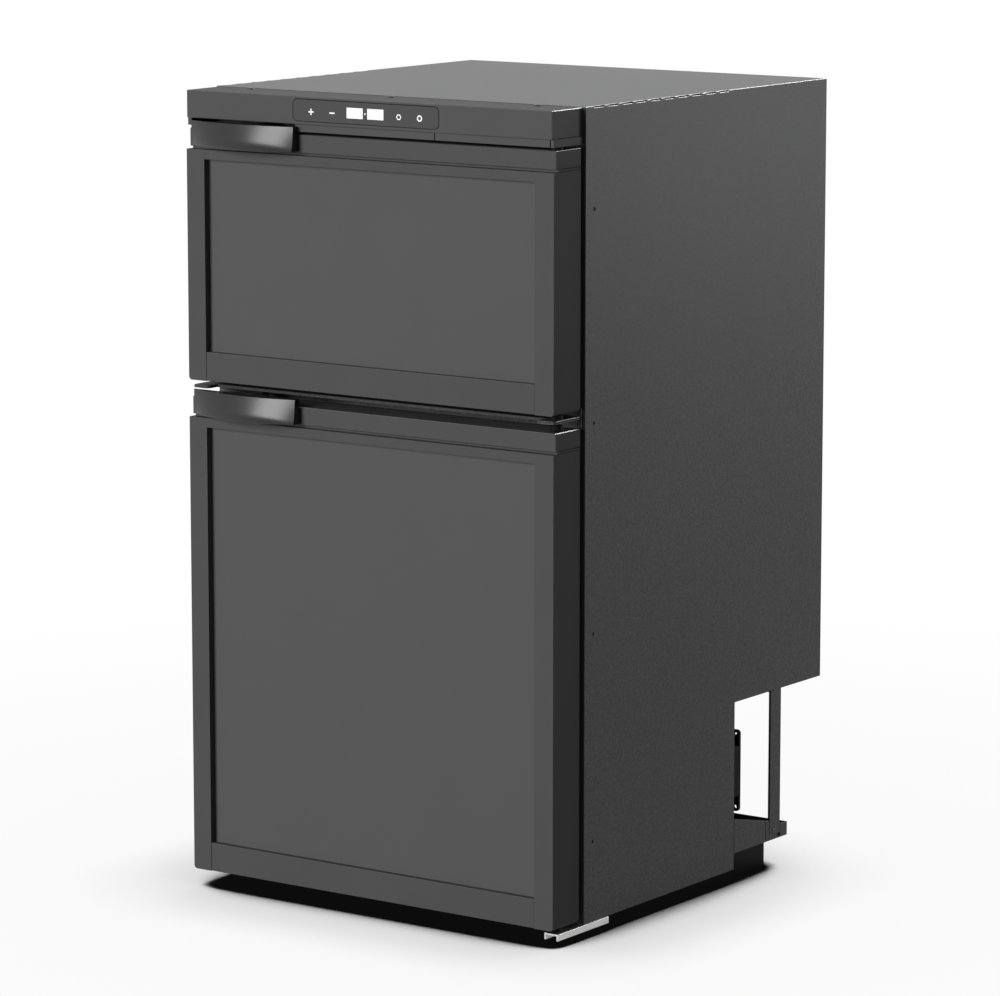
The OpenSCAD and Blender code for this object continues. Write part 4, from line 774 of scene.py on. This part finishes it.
def ring_recipe():
    """Copies of one shape turned round an axis through a centre."""
    recipe = Recipe("ring_of_copies", count=7, axis=(0.0, 1.0, 0.0), centre=(0.0, 0.0, 0.0))
    given = recipe.given
    places = recipe.node("GeometryNodeMeshLine", {},
                         {"Count": given["count"], "Offset": (0.0, 0.0, 0.0)})
    angle = recipe.node("GeometryNodeInputIndex") * (math.tau / given["count"])
    turn = recipe.node("FunctionNodeAxisAngleToRotation", {},
                       {"Axis": given["axis"], "Angle": angle})
    back = recipe.node("ShaderNodeVectorMath", {"operation": "SCALE"}, {0: given["centre"], 3: -1.0})
    centred = recipe.node("GeometryNodeTransform", {},
                          {"Geometry": given["Geometry"], "Translation": back})
    copies = recipe.node("GeometryNodeInstanceOnPoints", {},
                         {"Points": places, "Instance": centred, "Rotation": turn})
    return recipe.close(recipe.node("GeometryNodeTransform", {},
                                    {"Geometry": copies, "Translation": given["centre"]}))


def seat_recipe():
    """A copy of the seed piece on every vertex, turned to face outwards and sized to fit."""
    recipe = Recipe("copies_on_seats")
    seed = recipe.node("GeometryNodeObjectInfo", {}, {"Object": recipe.given["seed_piece"]}, 4)
    facing, size = (recipe.node("GeometryNodeInputNamedAttribute", {"data_type": "FLOAT_VECTOR"},
                                {"Name": label}) for label in ("facing", "size"))
    turn = recipe.node("FunctionNodeAlignRotationToVector", {"axis": "Z"}, {"Vector": facing})
    return recipe.close(recipe.node("GeometryNodeInstanceOnPoints", {},
                                    {"Points": recipe.given["Geometry"], "Instance": seed,
                                     "Rotation": turn, "Scale": size}))


tube, row, ring, seats = tube_recipe(), row_recipe(), ring_recipe(), seat_recipe()
print("recipes:", tube.tree.name, row.tree.name, ring.tree.name, seats.tree.name)


# %% Small helpers for the recipes
def path_mesh(points, closed=False):
    """A mesh of edges only, through the points."""
    mesh = bpy.data.meshes.new("path")
    corners = [at(*point) for point in points]
    edges = [(i, i + 1) for i in range(len(corners) - 1)]
    if closed:
        edges.append((len(corners) - 1, 0))
    mesh.from_pydata(corners, edges, [])
    return mesh


def solids(name):
    """The lowest and highest corner of each separate solid of a node, in millimetres."""
    form = merged(name)
    left, found = set(form.verts), []
    while left:
        group = {left.pop()}
        to_visit = list(group)
        while to_visit:
            corner = to_visit.pop()
            for edge in corner.link_edges:
                other = edge.other_vert(corner)
                if other in left:
                    left.discard(other)
                    group.add(other)
                    to_visit.append(other)
        places = [from_frame(corner.co) for corner in group]
        low = Vector([min(place[k] for place in places) for k in range(3)])
        high = Vector([max(place[k] for place in places) for k in range(3)])
        found.append((low, high))
    form.free()
    return sorted(found, key=lambda box: tuple(box[0]))


# %% [markdown]
# ## Screws
# Each screw is a pan head with a cross recess. The head is drawn once, one unit in radius and
# one unit high, from rings: round ones at first, then cross-shaped ones that go down into the
# recess. A recipe seats a copy on every screw place of the CAD model.

# %% One head, then a copy on every seat
def cross_ring(reach, half, z, fine=4):
    """A plus sign as a ring; every side is cut into a few points."""
    outline = []
    for i in range(4):
        turn = Matrix.Rotation(math.tau * i / 4, 2)
        outline += [turn @ Vector(pair) for pair in ((reach, -half), (reach, half), (half, half))]
    ring_points = []
    for i, start in enumerate(outline):
        end = outline[(i + 1) % len(outline)]
        ring_points += [start.lerp(end, k / fine) for k in range(fine)]
    return [(point.x, point.y, z) for point in ring_points]


def screw_head():
    crossed = cross_ring(0.62, 0.13, 0.0)

    def round_ring(radius, z):
        around = [Vector(point[:2]).normalized() * radius for point in crossed]
        return [(point.x, point.y, z) for point in around]

    form = Form()
    levels = [(0.97, 0.0), (1.0, 0.16), (0.98, 0.44), (0.86, 0.8), (0.72, 1.0)]
    rings = [round_ring(radius, z) for radius, z in levels]
    rings += [cross_ring(0.62, 0.13, 1.0), cross_ring(0.5, 0.09, 0.36)]
    for first, second in zip(rings, rings[1:]):
        form.strip([form.mesh.verts.new(p) for p in first], [form.mesh.verts.new(p) for p in second])
    for ends in (rings[0], rings[-1]):
        form.mesh.faces.new([form.mesh.verts.new(p) for p in ends])
    return form.plain()


seat_rows = []
for low, high in solids("panel_screws"):
    size = high - low
    thin = min(range(3), key=lambda k: size[k])
    outward = Vector((0.0, 0.0, 0.0))
    outward[thin] = -1.0 if thin == 0 and low[0] < 0 else 1.0
    seat = (low + high) / 2 - outward * size[thin] / 2
    seat_rows.append((seat, outward, max(size) / 2, size[thin]))
seat_mesh = bpy.data.meshes.new("screw_seats")
seat_mesh.from_pydata([at(*seat) for seat, *rest in seat_rows], [], [])
for label in ("facing", "size"):
    seat_mesh.attributes.new(label, "FLOAT_VECTOR", "POINT")
for i, (seat, outward, radius, height) in enumerate(seat_rows):
    seat_mesh.attributes["facing"].data[i].vector = outward
    seat_mesh.attributes["size"].data[i].vector = (radius * MM, radius * MM, height * MM)
head = new_object("screw_head", screw_head())
made = seats.make("cross_head_screws", "panel_screws", seat_mesh, seed_piece=head)
bpy.data.objects.remove(head)
print(len(seat_rows), "screws,", len(made.data.polygons), "faces")


# %% [markdown]
# ## The cooling fan
# A moulded rotor has blades that twist: steep at the hub, flatter at the tip, because the tip
# moves faster. One blade is a stack of thin curved sections, and a recipe turns it round the
# shaft. The guard is bent wire, so its rings and spokes are tubes along paths.

# %% Rotor
FAN_LOW, FAN_HIGH = extent("fan_rotor")
FAN_X, FAN_Z = (FAN_LOW.x + FAN_HIGH.x) / 2, (FAN_LOW.z + FAN_HIGH.z) / 2
TIP = (FAN_HIGH.z - FAN_LOW.z) / 2
HUB, HUB_DEPTH, SHAFT = 16.0, 18.5, 1.5
BLADES, BLADE_STEPS = 7, 9
HUB_PITCH, TIP_PITCH = 52.0, 32.0


def blade_section(radius):
    """A thin curved section of one blade, wrapped round the shaft at a radius."""
    share = (radius - HUB) / (TIP - HUB)
    pitch = math.radians(HUB_PITCH + (TIP_PITCH - HUB_PITCH) * share)
    chord, thickness = 19 + 7 * share, 2.0 - 0.9 * share
    ring_points = []
    for side in (1, -1):
        for i in range(8):
            u = (i / 7 - 0.5) * side
            swell = 1 - (2 * u) ** 2
            depth = 1.6 * swell + side * thickness / 2 * max(swell, 0.12) ** 0.5
            along = chord * u * math.cos(pitch) - depth * math.sin(pitch)
            axial = chord * u * math.sin(pitch) + depth * math.cos(pitch)
            angle = along / radius
            ring_points.append((FAN_X + radius * math.sin(angle), FAN_LOW.y + HUB_DEPTH / 2 + axial,
                                FAN_Z + radius * math.cos(angle)))
    return ring_points


def fan_rotor():
    radii = [HUB - 0.6 + (TIP - HUB + 0.1) * i / (BLADE_STEPS - 1) for i in range(BLADE_STEPS)]
    blade = Form().loft([blade_section(radius) for radius in radii]).plain()
    ring.make("fan_blades", "fan_rotor", blade, count=BLADES, centre=tuple(at(FAN_X, 0, FAN_Z)))
    hub = Form()
    hub.lathe([(4.0, 0.8), (HUB - 3, 0.0), (HUB - 0.6, 0.8), (HUB, 2.6), (HUB, HUB_DEPTH),
               (SHAFT + 2, HUB_DEPTH), (SHAFT, HUB_DEPTH + 0.6), (SHAFT, FAN_HIGH.y - FAN_LOW.y)],
              (FAN_X, FAN_LOW.y, FAN_Z), "Y", 48)
    return hub.piece("fan_hub", "fan_rotor", 0.2)


fan_rotor()


# %% Guard
GUARD_RADII, GUARD_WIRE = (36.5, 26.5, 16.5), 1.1


def fan_guard():
    low, high = extent("fan_guard")
    round_wire = {"radius": GUARD_WIRE * MM, "bend": 0.0, "sides": 10}
    for radius in GUARD_RADII:
        around = [math.tau * i / 56 for i in range(56)]
        path = path_mesh([(FAN_X + radius * math.cos(a), high.y - GUARD_WIRE,
                           FAN_Z + radius * math.sin(a)) for a in around], closed=True)
        tube.make("guard_ring", "fan_guard", path, **round_wire)
    reach = (high.z - low.z) / 2 - 1.0
    level = low.y + GUARD_WIRE
    spoke = path_mesh([(FAN_X + k * reach, level, FAN_Z + k * reach) for k in (-1, 1)])
    turned = tube.make("guard_spokes", "fan_guard", spoke, **round_wire).data.copy()
    centre = at(FAN_X, 0, FAN_Z)
    turned.transform(Matrix.Translation(centre) @ Matrix.Rotation(math.pi / 2, 4, "Y")
                     @ Matrix.Translation(-centre))
    settle(new_object("guard_spoke", turned), "fan_guard")


fan_guard()


# %% [markdown]
# ## The condenser
# A condenser is a block of thin aluminium fins with a copper tube pushed through them. The tube
# runs to and fro, and bright bends join its passes outside the end plates. A dark sheet with
# a round hole guides all the air from the fan through the block.

# %% Fins, tubes, end plates and shroud
CORE_LOW, CORE_HIGH = (55.0, 331.0, 23.5), (171.0, 365.0, 131.5)
FIN_COUNT, FIN_INSET, FIN_T, END_T = 44, 4.0, 0.5, 1.5
PASS_LOW, PASS_STEP, PASSES, PASS_ROWS = 47.5, 20.0, 4, (10.0, 24.0)
TUBE_R, TUBE_OUT = 3.5, 1.0
SHROUD_LOW, SHROUD_HIGH, SHROUD_HOLE = (55.0, 365.0, 19.5), (185.0, 368.0, 131.5), 42.5


def condenser():
    x0, y0, z0 = CORE_LOW
    x1, y1, z1 = CORE_HIGH
    first = x0 + FIN_INSET
    fin = Form().box((first - FIN_T / 2, y0 + 1, z0 + 1), (first + FIN_T / 2, y1 - 1, z1 - 1))
    step = (x1 - x0 - 2 * FIN_INSET) / (FIN_COUNT - 1)
    row.make("condenser_fins", "condenser", fin.plain(), count=FIN_COUNT,
             step=(step * MM, 0.0, 0.0))
    plates = Form()
    for x in (x0, x1 - END_T):
        plates.box((x, y0, SHROUD_LOW[2]), (x + END_T, y1, z1))
    plates.piece("condenser_end_plates", "condenser", 0.3)
    right, left = x1 + TUBE_OUT + PASS_STEP / 2, x0 - TUBE_OUT - PASS_STEP / 2
    for y in (y0 + depth for depth in PASS_ROWS):
        points = [(x0 - TUBE_OUT, y, PASS_LOW)]
        for k in range(PASSES - 1):
            turn = right if k % 2 == 0 else left
            points += [(turn, y, PASS_LOW + level * PASS_STEP) for level in (k, k + 1)]
        points.append((x0 - TUBE_OUT, y, PASS_LOW + (PASSES - 1) * PASS_STEP))
        tube.make("condenser_tube", "condenser", path_mesh(points), radius=TUBE_R * MM,
                  bend=PASS_STEP / 2 * MM, steps=10)
    shroud_plate()


def shroud_plate(count=96):
    """A sheet with a round hole: square and round rings of equal count, joined in a loop."""
    (x0, y0, z0), (x1, y1, z1) = SHROUD_LOW, SHROUD_HIGH
    square, circle = [], []
    for i in range(count):
        ray = Vector((math.cos(math.tau * i / count), math.sin(math.tau * i / count)))
        to_edges = [((high if part > 0 else low) - middle) / part
                    for part, low, high, middle in ((ray.x, x0, x1, FAN_X), (ray.y, z0, z1, FAN_Z))
                    if abs(part) > 1e-6]
        for outline, reach in ((square, min(to_edges)), (circle, SHROUD_HOLE)):
            outline.append((FAN_X + reach * ray.x, FAN_Z + reach * ray.y))
    form = Form()
    form.loft([[(x, y, z) for x, z in outline] for outline, y in
               ((square, y0), (square, y1), (circle, y1), (circle, y0))], loop=True)
    return form.piece("fan_shroud", "condenser", slot="black_steel")


condenser()
print("fan and condenser made")


# %% [markdown]
# ## The compressor
# A small sealed compressor is two deep-drawn steel cups welded together, so it has a domed
# shape with a raised seam round its waist. It stands on rubber mounts through a foot plate.

# %% Shell, seam, foot plate and mounts
COMP_X, COMP_Y, COMP_R = -128.0, 342.0, 48.0
COMP_LOW, COMP_TOP = 30.5, 148.5
SEAM_LOW, SEAM_HIGH, SEAM_R = 96.5, 101.5, 51.0
LEG_X, LEG_Y, LEG_EDGE = 44.0, 40.0, 7.0
FOOT_CORNER, FOOT_LEVELS = 9.0, ((0.6, 27.5), (0.0, 28.1), (0.0, 29.9), (0.6, 30.5))
COVER_HALF, COVER_LOW, COVER_HIGH, COVER_CORNER = 17.0, 52.0, 88.0, 5.0
MOUNT_PROFILE = ((7.2, 19.5), (8.0, 20.2), (8.0, 21.6), (6.4, 23.2), (6.4, 24.4), (8.0, 25.8),
                 (7.6, 27.4), (3.9, 27.5), (3.9, 30.5), (6.2, 30.6), (6.5, 31.2), (6.0, 32.4),
                 (2.0, 32.5))


def dome(radius, start, rise, steps=8):
    """Points of a dome's profile, from its rim to its middle."""
    points = []
    for i in range(steps + 1):
        a = math.pi / 2 * i / steps
        points.append((max(radius * math.cos(a) ** 0.6, 0.5), start + rise * math.sin(a)))
    return points


def compressor():
    middle = (COMP_X, COMP_Y, 0.0)
    below = [(radius, height) for radius, height in reversed(dome(COMP_R - 1, COMP_LOW + 16, -16))]
    waist = [(COMP_R - 1, SEAM_LOW - 1), (COMP_R + 0.5, SEAM_LOW), (SEAM_R - 0.4, SEAM_LOW + 0.5),
             (SEAM_R, SEAM_LOW + 1.6), (SEAM_R, SEAM_HIGH - 1.6), (SEAM_R - 0.4, SEAM_HIGH - 0.5),
             (COMP_R + 0.5, SEAM_HIGH)]
    above = dome(COMP_R, COMP_TOP - 24, 24)
    shell = Form().lathe(below + waist + above, middle, "Z", 72)
    shell.piece("compressor_shell", "compressor", 0.4)
    plate = Form()
    half_x, half_y = LEG_X + LEG_EDGE, LEG_Y + LEG_EDGE
    plate.loft([flat_ring((COMP_X - half_x + d, COMP_Y - half_y + d),
                          (COMP_X + half_x - d, COMP_Y + half_y - d), FOOT_CORNER - d, z)
                for d, z in FOOT_LEVELS])
    plate.rod((COMP_X, COMP_Y, 30.0), (COMP_X, COMP_Y, COMP_LOW + 8), COMP_R - 14, 48)
    plate.piece("compressor_foot", "compressor")
    cover = Form()
    cover.loft([[(x, y, z) for y, z in plan_ring((COMP_Y - COVER_HALF + d, COVER_LOW + d),
                                                 (COMP_Y + COVER_HALF - d, COVER_HIGH - d),
                                                 COVER_CORNER - d)]
                for x, d in ((COMP_X + COMP_R - 7, 0.0), (COMP_X + COMP_R + 1.6, 0.0),
                             (COMP_X + SEAM_R - 0.2, 1.4))])
    cover.piece("compressor_terminal_cover", "compressor", 0.4)


def mounts():
    form = Form()
    for x in (COMP_X - LEG_X, COMP_X + LEG_X):
        for y in (COMP_Y - LEG_Y, COMP_Y + LEG_Y):
            form.lathe(MOUNT_PROFILE, (x, y, 0.0), "Z", 28)
    return form.piece("rubber_mounts", "compressor_mounts")


compressor()
mounts()


# %% [markdown]
# ## Controller, drier and pipes
# The controller's case is ribbed on the side that meets the fan's air, so that it stays cool,
# and screw terminals for the supply leads stand on top. The drier is a copper tube, squeezed
# to a neck at both ends where the pipes are soldered in. A pipe can't turn a sharp corner:
# each path below is bent by the same recipe as the condenser's tube.

# %% The ribbed case with its terminals
TERMINAL_LOW, TERMINAL_SIZE, TERMINALS, TERMINAL_PITCH = (6.0, 8.0), (16.0, 52.0, 12.0), 5, 10.0
WALL_T, RIBS, RIB_REACH, RIB_INSET, RIB_T = 2.0, 12, 5.0, 2.0, 2.2


def power_controller():
    low, high = extent("power_controller")
    top = high.z - TERMINAL_SIZE[2]
    case = Form()
    case.box((low.x, low.y, low.z), (high.x - RIB_REACH, high.y, top))
    case.piece("controller_case", "power_controller", 0.9)
    rib = Form().box((high.x - RIB_REACH - 1.0, low.y + RIB_INSET, low.z + 3.0),
                     (high.x, low.y + RIB_INSET + RIB_T, top - 3.0))
    row.make("cooling_ribs", "power_controller", rib.plain(0.5), count=RIBS,
             step=(0.0, (high.y - low.y - 2 * RIB_INSET - RIB_T) / (RIBS - 1) * MM, 0.0))
    x0, y0 = low.x + TERMINAL_LOW[0], low.y + TERMINAL_LOW[1]
    x1, y1 = x0 + TERMINAL_SIZE[0], y0 + TERMINAL_SIZE[1]
    strip = Form().box((x0, y0, top), (x1, y1, high.z - 4.0))
    for i in range(TERMINALS + 1):
        y = y0 + (y1 - y0 - WALL_T) * i / TERMINALS
        strip.box((x0, y, high.z - 5.0), (x1, y + WALL_T, high.z))
    strip.piece("terminal_strip", "power_controller", 0.3)
    for i in range(TERMINALS):
        y = (y0 + y1) / 2 + (i - (TERMINALS - 1) / 2) * TERMINAL_PITCH
        profile = [(radius, high.z - drop) for radius, drop in
                   ((2.6, 4.5), (2.6, 2.2), (2.0, 1.6), (0.6, 1.6))]
        pin = Form().lathe(profile, ((x0 + x1) / 2, y, 0.0), "Z", 24)
        pin.piece("terminal_screw", "power_controller", slot="bright_steel")


# %% The drier and the pipes
HOT, DOWN_X, LIQUID_X, SUCTION_X, BAY_WALL = (-108.0, 322.0), 20.0, 18.0, -152.0, 288.0
PIPE_R, BUTT, LIQUID_TURN = 3.0, 0.2, 12.0
DRIER_R, CLIP_HALF, CLIP_Y, CLIP_L = 10.0, 9.0, 19.8, 10.0
DRIER_END = ((5.0, 0.0), (5.0, 4.0), (5.8, 5.4), (8.4, 7.4), (9.6, 8.6), (DRIER_R, 10.2))


def drier_and_pipes():
    low, high = extent("filter_drier")
    x, z = (low.x + high.x) / 2, high.z - DRIER_R
    profile = [*DRIER_END, *((r, high.y - low.y - h) for r, h in reversed(DRIER_END))]
    Form().lathe(profile, (x, low.y, z), "Y", 40).piece("drier", "filter_drier", 0.2)
    clip = Form().box((x - CLIP_HALF, low.y + CLIP_Y, low.z),
                      (x + CLIP_HALF, low.y + CLIP_Y + CLIP_L, z - 2.0))
    clip.piece("drier_clip", "filter_drier", 0.3, slot="bright_steel")
    top, roof = COMP_TOP + 12.0, extent("refrigerant_pipes")[1].z
    row_y, joint = CORE_LOW[1] + PASS_ROWS[0], CORE_LOW[0] - TUBE_OUT - BUTT
    last = PASS_LOW + (PASSES - 1) * PASS_STEP
    paths = {
        "hot_pipe": [(*HOT, COMP_TOP - 6), (*HOT, top), (DOWN_X, HOT[1], top), (DOWN_X, row_y, last),
                     (joint, row_y, last)],
        "liquid_pipe": [(joint, row_y, PASS_LOW), (LIQUID_X, row_y, PASS_LOW), (LIQUID_X, row_y, z),
                        (LIQUID_X, high.y + LIQUID_TURN, z), (x, high.y + LIQUID_TURN, z),
                        (x, high.y + BUTT, z)],
        "suction_pipe": [(SUCTION_X, COMP_Y, COMP_TOP - 6), (SUCTION_X, COMP_Y, roof)],
    }
    for label, points in paths.items():
        tube.make(label, "refrigerant_pipes", path_mesh(points), radius=PIPE_R * MM, bend=0.008)
    riser = BAY_WALL + 2 * PIPE_R
    fine = [(x, low.y - BUTT, z), (x, riser, z), (x, riser, roof)]
    tube.make("thin_pipe", "refrigerant_pipes", path_mesh(fine), radius=(PIPE_R - 1) * MM,
              bend=0.005)


power_controller()
drier_and_pipes()


# %% [markdown]
# ## The wire rack
# The freezer's rack is welded from straight wires. One wire with rounded ends is copied along
# a row, and three thicker wires cross under it.

# %% Wires
def wire_rack():
    low, high = extent("freezer_rack")
    wire, bar = 1.6, 2.4
    count, inset = 15, 12.0
    middle = high.z - wire
    first = low.x + inset
    length = high.y - low.y - 2.0
    end = ((0.3, 0.0), (1.1, 0.35), (wire, 1.4))
    profile = [*end, *((radius, length - y) for radius, y in reversed(end))]
    thin = Form().lathe(profile, (first, low.y + 1.0, middle), "Y", 12)
    step = (high.x - low.x - 2 * inset) / (count - 1)
    row.make("rack_wires", "freezer_rack", thin.plain(), count=count,
             step=(step * MM, 0.0, 0.0))
    for y in (low.y + bar, (low.y + high.y) / 2, high.y - bar):
        path = path_mesh([(low.x, y, middle - wire), (high.x, y, middle - wire)])
        tube.make("rack_bar", "freezer_rack", path, radius=bar * MM, bend=0.0)


wire_rack()


# %% [markdown]
# ## The cold plates
# Each cold plate is two aluminium sheets rolled together, with a channel blown up between
# them. The channel shows as a low round ridge that runs to and fro over the plate.

# %% Ridges of the channels
def to_and_fro(low, high, turns, place):
    """A path that crosses a rectangle several times; place makes a pair a point in space."""
    points = []
    for k in range(turns):
        v = low[1] + (high[1] - low[1]) * k / (turns - 1)
        ends = (low[0], high[0]) if k % 2 == 0 else (high[0], low[0])
        points += [place(u, v) for u in ends]
    return points


def channels():
    low, high = extent("fridge_evaporator")
    upright = to_and_fro((low.x + 22, low.z + 20), (high.x - 22, high.z - 20), 7,
                         lambda u, v: (u, low.y + 0.4, v))
    tube.make("fridge_plate_channel", "fridge_evaporator", path_mesh(upright), radius=2.2 * MM,
              bend=0.012)
    low, high = extent("freezer_evaporator")
    level = to_and_fro((low.x + 26, low.y + 24), (high.x - 26, high.y - 24), 8,
                       lambda u, v: (u, v, high.z - 4.4))
    tube.make("freezer_plate_channel", "freezer_evaporator", path_mesh(level), radius=1.8 * MM,
              bend=0.018)


channels()


# %% [markdown]
# ## Bins and seals
# Thin moulded tubs have round corners, a thick rim and a slight taper, so that they leave
# their mould. Low ribs on the wall that faces the shelves make them stiffer. A door seal is a
# soft bellows with a magnet inside, carried round the door as one loop.

# %% Door bins
def tub(low, high, corner, wall, rim):
    """A closed tub: outer wall up, over the rim, and down the inside to the floor."""
    def level(inset, z):
        radius = max(corner - inset, 1.0)
        return flat_ring((low.x + inset, low.y + inset), (high.x - inset, high.y - inset), radius, z)

    body = rim + 1.0
    steps = ((body + 3.0, low.z), (body + 1.2, low.z + 1.0), (body + 0.6, low.z + 3.2),
             (rim, high.z - 5.0), (0.0, high.z - 4.2), (0.0, high.z - 0.8), (0.8, high.z),
             (rim + wall - 0.6, high.z), (rim + wall, high.z - 0.8), (body + wall, low.z + 4.5),
             (body + wall + 1.6, low.z + wall))
    return Form().loft([level(inset, z) for inset, z in steps])


BIN_CORNER, BIN_WALL, BIN_RIM = 14.0, 1.8, 1.2
BIN_RIBS, RIB_START, RIB_R = 19, 24.0, 1.1
for low, high in solids("fridge_door_bins"):
    tub(low, high, BIN_CORNER, BIN_WALL, BIN_RIM).piece("door_bin", "fridge_door_bins")
    x = low.x + RIB_START
    rib = Form().rod((x, high.y - 1.9, low.z + 6), (x, high.y - 1.5, high.z - 7), RIB_R, 10)
    row.make("bin_ribs", "fridge_door_bins", rib.plain(), count=BIN_RIBS,
             step=((high.x - low.x - 2 * RIB_START) / (BIN_RIBS - 1) * MM, 0.0, 0.0))


# %% Door seals
SEAL_BAND, SEAL_CORNER = 12.0, 10.0
SEAL_SECTION = ((0.0, 0.0), (0.8, -0.12), (0.2, -0.35), (1.4, -0.5), (0.2, -0.65), (0.8, -0.9),
                (1.6, -1.0), (SEAL_BAND - 1.6, -1.0), (SEAL_BAND - 0.4, -0.86),
                (SEAL_BAND - 1.6, -0.6), (SEAL_BAND - 0.4, -0.34), (SEAL_BAND - 1.2, 0.0))


def door_seal(name):
    """The section at every inset from the door's edge, as a loop of rounded frames."""
    low, high = extent(name)
    depth = high.y - low.y
    rings = [upright_ring((low.x + inset, low.z + inset), (high.x - inset, high.z - inset),
                          max(SEAL_CORNER - inset, 1.0), high.y + depth * level, 6)
             for inset, level in SEAL_SECTION]
    return Form().loft(rings, loop=True).piece("bellows_" + name, name)


for name in ("freezer_door_gasket", "fridge_door_gasket"):
    door_seal(name)
print("inside pieces made")


# %% [markdown]
# ## The studio
# The photograph is a packshot: white all round, with only a short dark shadow under the
# object. A large soft lamp stands in front, and two small ones behind draw bright lines along
# the edges. The world and the floor are white for the camera and for reflections, but give
# little light themselves, so the lamps alone shape the object.

# %% Floor
SHADOW_STOPS = ((0.0, 0.004), (0.5, 0.004), (0.545, 0.38), (0.6, 0.74), (0.76, 0.8), (0.9, 0.92),
                (1.0, 1.0))
SHADOW_REACH = 0.16
FLOOR_HALF = 12.0


def seen_directly(graph):
    """One where a ray comes from the camera, a mirror or a clear surface, otherwise zero."""
    camera, glossy, through = (
        graph.node("ShaderNodeLightPath", output=name)
        for name in ("Is Camera Ray", "Is Glossy Ray", "Is Transmission Ray"))
    return camera.at_least(glossy).at_least(through)


def studio_floor():
    """White with a contact shadow where it is seen, and mid grey where it is only lit."""
    form = bmesh.new()
    bmesh.ops.create_grid(form, x_segments=1, y_segments=1, size=FLOOR_HALF)
    floor = new_object("floor", mesh_from(form, "floor"))
    finish = Finish("studio_floor", Base_Color=(0.25, 0.25, 0.25), Roughness=0.9,
                    Specular_IOR_Level=0.0)
    openness = finish.node("ShaderNodeAmbientOcclusion", {"samples": 24},
                           {"Distance": SHADOW_REACH}, "AO")
    shadow = finish.node("ShaderNodeValToRGB", {"stops": SHADOW_STOPS}, {"Fac": openness})
    away = finish.node("ShaderNodeVectorMath", {"operation": "LENGTH"},
                       {0: finish.node("ShaderNodeTexCoord", output="Object")}, "Value")
    # Painted shade: the floor's white is held at 0.95 within 0.45 m of the middle and brightens to
    # full white at 1.6 m.
    shade_near_object = finish.node("ShaderNodeMapRange", {}, {"Value": away, "From Min": 0.45, "From Max": 1.6,
                                                  "To Min": 0.95, "To Max": 1.0})
    white = finish.node("ShaderNodeEmission", {}, {"Color": shadow, "Strength": shade_near_object})
    lit = Value(finish, finish.shader.outputs[0])
    mixed = finish.node("ShaderNodeMixShader", {}, {0: seen_directly(finish), 1: lit, 2: white})
    finish.plug(finish.tree.nodes["Material Output"].inputs["Surface"], mixed)
    floor.data.materials.append(finish.material)


studio_floor()


# %% World and lamps
def white_world(ambient):
    world = bpy.data.worlds.new("studio")
    bpy.context.scene.world = world
    world.use_nodes = True
    graph = Graph(world.node_tree)
    background = graph.tree.nodes["Background"]
    background.inputs["Color"].default_value = (1.0, 1.0, 1.0, 1.0)
    level = graph.node("ShaderNodeMapRange", {},
                       {"Value": seen_directly(graph), "To Min": ambient, "To Max": 1.0})
    graph.plug(background.inputs["Strength"], level)


def stand(name, data):
    """Puts a lamp or camera in the scene."""
    held = bpy.data.objects.new(name, data)
    bpy.context.scene.collection.objects.link(held)
    return held


def softbox(name, place, aim, size, power):
    lamp = bpy.data.lights.new(name, "AREA")
    lamp.shape = "RECTANGLE"
    lamp.size, lamp.size_y = size
    lamp.energy = power
    held = stand(name, lamp)
    held.location = place
    held.rotation_euler = (Vector(aim) - Vector(place)).to_track_quat("-Z", "Y").to_euler()


white_world(0.03)
softbox("front_lamp", (-1.9, -7.2, 2.05), (0.0, 0.0, 0.42), (3.4, 3.4), 545.0)
softbox("rim_lamp", (0.75, 3.85, 3.4), (0.23, 0.0, 0.7), (0.7, 1.0), 45.0)
softbox("side_lamp", (2.0, 2.6, 0.8), (0.23, 0.0, 0.85), (0.7, 0.7), 20.0)
print("lamps:", len(bpy.data.lights))


# %% Camera
AZIMUTH, ELEVATION = math.radians(35.314), math.radians(9.47)
CAMERA_PLACE = Vector((2.9025, -4.1031, 1.2526))
FOCAL, SENSOR, FAR_CLIP = 169.7, 36.0, 60.0


def studio_camera():
    """Stands where the photograph was taken from, looking down a little."""
    back = Vector((math.sin(AZIMUTH) * math.cos(ELEVATION),
                   -math.cos(AZIMUTH) * math.cos(ELEVATION), math.sin(ELEVATION)))
    right = Vector((math.cos(AZIMUTH), math.sin(AZIMUTH), 0.0))
    camera = bpy.data.cameras.new("studio_camera")
    camera.sensor_fit = "HORIZONTAL"
    camera.sensor_width, camera.lens, camera.clip_end = SENSOR, FOCAL, FAR_CLIP
    held = stand("studio_camera", camera)
    turn = Matrix((right, back.cross(right), back)).transposed().to_4x4()
    held.matrix_world = Matrix.Translation(CAMERA_PLACE) @ turn
    bpy.context.scene.camera = held


studio_camera()
bpy.context.scene.view_settings.view_transform = "Standard"

# %% [markdown]
# ## Finish

# %% The end
print("scene built")
